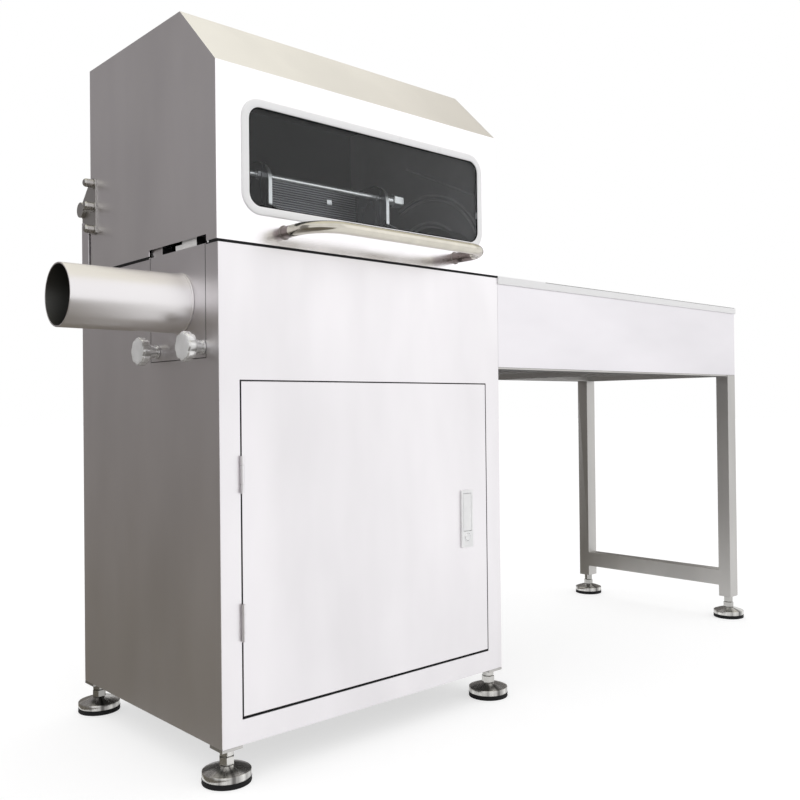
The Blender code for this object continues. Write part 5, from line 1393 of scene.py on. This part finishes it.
@dataclass
class LevellingFoot:
    """One levelling foot: pad, conical base, stem with its hexagon and nut.

    Attributes:
        name: Where the foot stands, such as "front_left".
        sink: How far the hexagon sits down into the cone.
        rim: How high the base's straight rim is.
        neck: The cone's radius at its top.
        bulge: How far the cone swells at its middle.
        cone_steps: How many strips the cone has.
        hex_radius: The hexagon's radius over its corners.
        hex_top: How high the hexagon reaches over the cone.
        thread: The thread's inner and outer radius.
        thread_pitch: The thread's pitch.
        nut_gap: How far over the cone the round nut starts.
        nut_radius: The round nut's radius.
        insert: How far the stem reaches up past the nut.
    """

    name: str
    sink: float = 0.0034
    rim: float = 0.0125
    neck: float = 0.0152
    bulge: float = 0.0006
    cone_steps: int = 12
    hex_radius: float = 0.0152
    hex_top: float = 0.0165
    thread: tuple[float, float] = (0.0072, 0.0080)
    thread_pitch: float = 0.0014
    nut_gap: float = 0.0172
    nut_radius: float = 0.0134
    insert: float = 0.0203

    def build(self) -> None:
        """Makes the foot's three pieces."""
        pad = Span.of(f"{self.name}_foot_pad")
        base = Span.of(f"{self.name}_foot_base")
        stem = Span.of(f"{self.name}_foot_stem")
        placed(self.pad(pad), BLACK_RUBBER_AND_SHADE, Slot.RUBBER, "root", f"{self.name}_foot_pad")
        middle = (base.middle.x, base.middle.y, 0.0)
        # painted reflection: dark and light streaks on the foot's base
        faced = FacedSteel(f"faced {self.name} foot", (0.17, 0.165, 0.16), (0.94, 0.93, 0.90), 0.24, middle)
        placed(self.base(base), faced, Slot.POLISHED, "root", f"{self.name}_foot_base")
        threaded = self.stem(stem, base)
        placed(threaded, STEM_STEEL, Slot.POLISHED, f"{self.name}_stem", f"{self.name}_foot_stem")

    def pad(self, span: Span) -> Piece:
        """Turns the rubber pad, a little waisted, with a soft lip."""
        radius = span.size.x / 2
        top = span.high.z
        profile = [(0.0, 0.0), (0.0, radius - 0.0022), (0.0006, radius - 0.0006), (0.0022, radius)]
        profile += [(top * 0.42, radius - 0.0006), (top * 0.7, radius - 0.0004), (top - 0.0014, radius)]
        profile += [(top - 0.0004, radius - 0.0006), (top, radius - 0.0018), (top, 0.0)]
        return turned(f"{self.name}_pad", profile, span.middle, Axis.Z, 96)

    def base(self, span: Span) -> Piece:
        """Turns the conical steel base with its straight rim."""
        radius = span.size.x / 2 + 0.0014
        low = span.low.z - 0.0004
        top = span.high.z - self.sink
        rim = low + self.rim
        profile = [(low, 0.0), (low, radius - 0.0006), (low + 0.0006, radius), (rim - 0.0008, radius)]
        profile += [(rim, radius - 0.0007), (rim + 0.0004, radius - 0.0020)]
        height, reach = profile[-1]
        for step in range(1, self.cone_steps + 1):
            share = step / self.cone_steps
            bulge = self.bulge * math.sin(math.pi * share)
            rise = height + (top - height) * share + bulge
            profile.append((rise, reach + (self.neck - reach) * share + bulge * 0.6))
        profile += [(top, 0.0115), (top - 0.0012, 0.0105), (top - 0.0012, 0.0)]
        return turned(f"{self.name}_base", profile, span.middle, Axis.Z, 96, sharp=45.0)

    def stem(self, span: Span, base: Span) -> Piece:
        """Makes the threaded stem, with its hexagon over the base."""
        centre = span.middle
        low = base.high.z - self.sink
        hexes = hexagon("hex", low + 0.0002, low + self.hex_top, self.hex_radius, centre, Axis.Z)
        inner, outer = self.thread
        height = low - 0.001
        thread = [(height, 0.0)]
        while height < span.high.z - 0.0016:
            thread += [(height, inner), (height + self.thread_pitch / 2, outer)]
            height += self.thread_pitch
        thread += [(height, inner), (height, 0.0)]
        core = turned("core", thread, centre, Axis.Z, 32, sharp=80.0)
        nut = self.lock_nut(low + self.nut_gap, span.high.z - self.insert, centre)
        return joined(f"{self.name}_threaded_stem", [hexes, core, nut])

    def lock_nut(self, low: float, high: float, centre: Vector) -> Piece:
        """Makes the round lock nut between the hexagon and the leg's end."""
        radius = self.nut_radius
        profile = [(low, 0.0), (low, radius - 0.0024), (low + 0.0006, radius), (high - 0.0010, radius)]
        profile += [(high, radius - 0.0009), (high, 0.0)]
        return turned("collar", profile, centre, Axis.Z, 40)


@dataclass(frozen=True)
class Card:
    """A card that shows only in the steel's reflections.

    Attributes:
        name: The card's name.
        corners: Its corners in the cabinet's own coordinates.
        low: Its colour where its fade starts.
        high: Its colour where its fade ends.
        axis: The axis that its colour fades along.
        start: Where the fade starts.
        end: Where the fade ends.
    """

    name: str
    corners: Sequence[Sequence[float]]
    low: Triple
    high: Triple
    axis: Axis = Axis.Z
    start: float = 0.0
    end: float = 1.5


CARDS = (
    Card(
        "grey side card",
        ((-4.2, -0.4, 0.0), (1.6, 3.6, 0.0), (1.6, 3.6, 3.2), (-4.2, -0.4, 3.2)),
        (0.190, 0.174, 0.154),
        (0.272, 0.260, 0.262),
    ),
    Card(
        "grey far card",
        ((3.2, 0.75, 0.0), (3.2, 5.0, 0.0), (3.2, 5.0, 3.2), (3.2, 0.75, 3.2)),
        (0.16, 0.15, 0.14),
        (0.20, 0.19, 0.185),
    ),
    Card(
        "grey floor card",
        (
            (-4.2, -3.0, 0.004), (-0.03, -3.0, 0.004), (-0.03, 0.62, 0.004),
            (1.85, 0.62, 0.004), (1.85, 3.4, 0.004), (-4.2, 3.4, 0.004),
        ),
        (0.18, 0.165, 0.14),
        (0.18, 0.165, 0.14),
    ),
    Card(
        "warm ceiling card",
        ((-1.5, -1.5, 3.6), (6.0, -1.5, 3.6), (6.0, 4.0, 3.6), (-1.5, 4.0, 3.6)),
        (0.92, 0.90, 0.79),
        (0.70, 0.67, 0.59),
        Axis.X,
        1.5,
        3.3,
    ),
)


@dataclass
class Studio:
    """The floor, the cards, the lamp and the camera round the machine.

    Attributes:
        origin: The cabinet's front left corner on the floor.
        lamp_power: The softbox's power in watts.
        lamp_size: Its side in metres.
        lamp_place: Where it hangs.
        lamp_aim: What it points at.
        ambient: The strength of the soft light from all round.
        floor_tone: The floor's grey.
        floor_lift: How much brighter the eye and the steel see the floor.
        floor_reach: How far the floor runs out to each side.
        eye: Where the camera stands.
        yaw: How far it is turned to the right, in degrees.
        pitch: How far it looks up.
        roll: How far it is tipped.
        lens: Its lens in millimetres.
    """

    origin: Vector
    lamp_power: float = 6.0
    lamp_size: float = 2.6
    lamp_place: Triple = (2.3, -2.2, 2.3)
    lamp_aim: Triple = (0.8, 0.2, 0.8)
    ambient: float = 1.0
    floor_tone: float = 0.45
    floor_lift: float = 0.62
    floor_reach: float = 40.0
    eye: Triple = (-0.8712, -1.4484, 0.69223)
    yaw: float = 42.343
    pitch: float = 0.4946
    roll: float = -0.597
    lens: float = 40.666

    def build(self) -> None:
        """Sets up everything that isn't the machine."""
        self.world()
        self.floor()
        for card in CARDS:
            self.hang(card)
        self.lamp()
        self.camera()
        bpy.context.scene.view_settings.view_transform = "Standard"

    def world(self) -> None:
        """Makes a world that is white to the eye and in reflections, and soft as light."""
        world = bpy.data.worlds.new("studio")
        bpy.context.scene.world = world
        world.use_nodes = True
        tree = world.node_tree
        background = tree.nodes["Background"]
        background.inputs["Color"].default_value = WHITE
        strength = self.seen(tree, self.ambient, 1.0)
        tree.links.new(strength, background.inputs["Strength"])

    def seen(self, tree: bpy.types.NodeTree, unseen: float, full: float) -> Socket:
        """Gives one value for rays from the eye, mirrors and glass, and another for light.

        Args:
            tree: The node tree that takes the nodes.
            unseen: The value as light.
            full: The value where it is seen.

        Returns:
            The socket with the value.
        """
        ray = tree.nodes.new("ShaderNodeLightPath")
        total = ray.outputs["Is Camera Ray"]
        for name in ("Is Glossy Ray", "Is Transmission Ray"):
            adder = tree.nodes.new("ShaderNodeMath")
            adder.operation = "MAXIMUM"
            tree.links.new(total, adder.inputs[0])
            tree.links.new(ray.outputs[name], adder.inputs[1])
            total = adder.outputs["Value"]
        choice = tree.nodes.new("ShaderNodeMapRange")
        choice.inputs["To Min"].default_value = unseen
        choice.inputs["To Max"].default_value = full
        tree.links.new(total, choice.inputs["Value"])
        return choice.outputs["Result"]

    def sheet(self, name: str, corners: Sequence[Sequence[float]]) -> Piece:
        """Makes a flat stage sheet from its corners, in the cabinet's own coordinates."""
        mesh = bpy.data.meshes.new(name)
        points = [Vector(corner) + self.origin for corner in corners]
        mesh.from_pydata([tuple(point) for point in points], [], [tuple(range(len(points)))])
        sheet = bpy.data.objects.new(name, mesh)
        bpy.context.scene.collection.objects.link(sheet)
        return sheet

    def floor(self) -> None:
        """Lays the pale floor, which keeps the machine's shadow."""
        reach = self.floor_reach
        corners = [(-reach, -reach, 0), (reach, -reach, 0), (reach, reach, 0), (-reach, reach, 0)]
        floor = self.sheet("floor", corners)
        recipe = Recipe("pale floor")
        tone = self.floor_tone
        recipe.fix(Base_Color=(tone, tone, tone, 1.0), Emission_Color=WHITE)
        recipe.fix(Roughness=0.9, Specular_IOR_Level=0.0)
        lift = self.seen(recipe.tree, 0.0, self.floor_lift)
        recipe.link(lift, recipe.shader.inputs["Emission Strength"])
        floor.data.materials.append(recipe.material)

    def hang(self, card: Card) -> None:
        """Hangs one card, whose colour fades along its axis."""
        sheet = self.sheet(card.name, card.corners)
        sheet.visible_camera = False
        sheet.visible_diffuse = False
        sheet.visible_shadow = False
        sheet.visible_transmission = False
        recipe = Recipe(card.name)
        parts = recipe.node("ShaderNodeSeparateXYZ")
        recipe.link(recipe.place, parts.inputs["Vector"])
        begin = self.origin[card.axis.value]
        fade = recipe.node("ShaderNodeMapRange", From_Min=begin + card.start, From_Max=begin + card.end)
        recipe.link(parts.outputs[card.axis.name], fade.inputs["Value"])
        glow = recipe.node("ShaderNodeEmission")
        recipe.link(recipe.mix(fade.outputs["Result"], card.low, card.high), glow.inputs["Color"])
        recipe.link(glow.outputs["Emission"], recipe.output.inputs["Surface"])
        sheet.data.materials.append(recipe.material)

    def lamp(self) -> None:
        """Hangs the soft lamp at the right, before the machine."""
        light = bpy.data.lights.new("softbox", "AREA")
        light.shape = "SQUARE"
        light.size = self.lamp_size
        light.energy = self.lamp_power
        lamp = bpy.data.objects.new("softbox", light)
        place = Vector(self.lamp_place) + self.origin
        aim = Vector(self.lamp_aim) + self.origin
        lamp.location = place
        lamp.rotation_euler = (aim - place).to_track_quat("-Z", "Y").to_euler()
        bpy.context.scene.collection.objects.link(lamp)

    def camera(self) -> None:
        """Sets the camera where the photograph was taken from."""
        yaw, pitch, roll = (math.radians(angle) for angle in (self.yaw, self.pitch, self.roll))
        ahead = Vector((math.sin(yaw) * math.cos(pitch), math.cos(yaw) * math.cos(pitch), math.sin(pitch)))
        level = Vector((math.cos(yaw), -math.sin(yaw), 0.0))
        above = level.cross(ahead)
        right = level * math.cos(roll) + above * math.sin(roll)
        up = above * math.cos(roll) - level * math.sin(roll)
        data = bpy.data.cameras.new("camera")
        data.lens = self.lens
        data.sensor_width = 36.0
        camera = bpy.data.objects.new("camera", data)
        turn = Matrix((right, up, -ahead)).transposed()
        camera.matrix_world = Matrix.Translation(Vector(self.eye) + self.origin) @ turn.to_4x4()
        bpy.context.scene.collection.objects.link(camera)
        bpy.context.scene.camera = camera


def main() -> None:
    """Builds the sub-assemblies in order, then the studio."""
    logging.basicConfig(level=logging.INFO, format="%(name)s: %(message)s")
    corner = Span.of("cabinet_shell").low
    feet = [node.removesuffix("_foot_pad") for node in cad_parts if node.endswith("_foot_pad")]
    assemblies = [Cabinet(), Hood(), Door(), Port(), Table(), Chamber()]
    assemblies += [LevellingFoot(name) for name in sorted(feet)]
    assemblies.append(Studio(Vector((corner.x, corner.y, 0.0))))
    for assembly in assemblies:
        assembly.build()
        LOG.info("%s done", type(assembly).__name__)


if __name__ == "__main__":
    main()
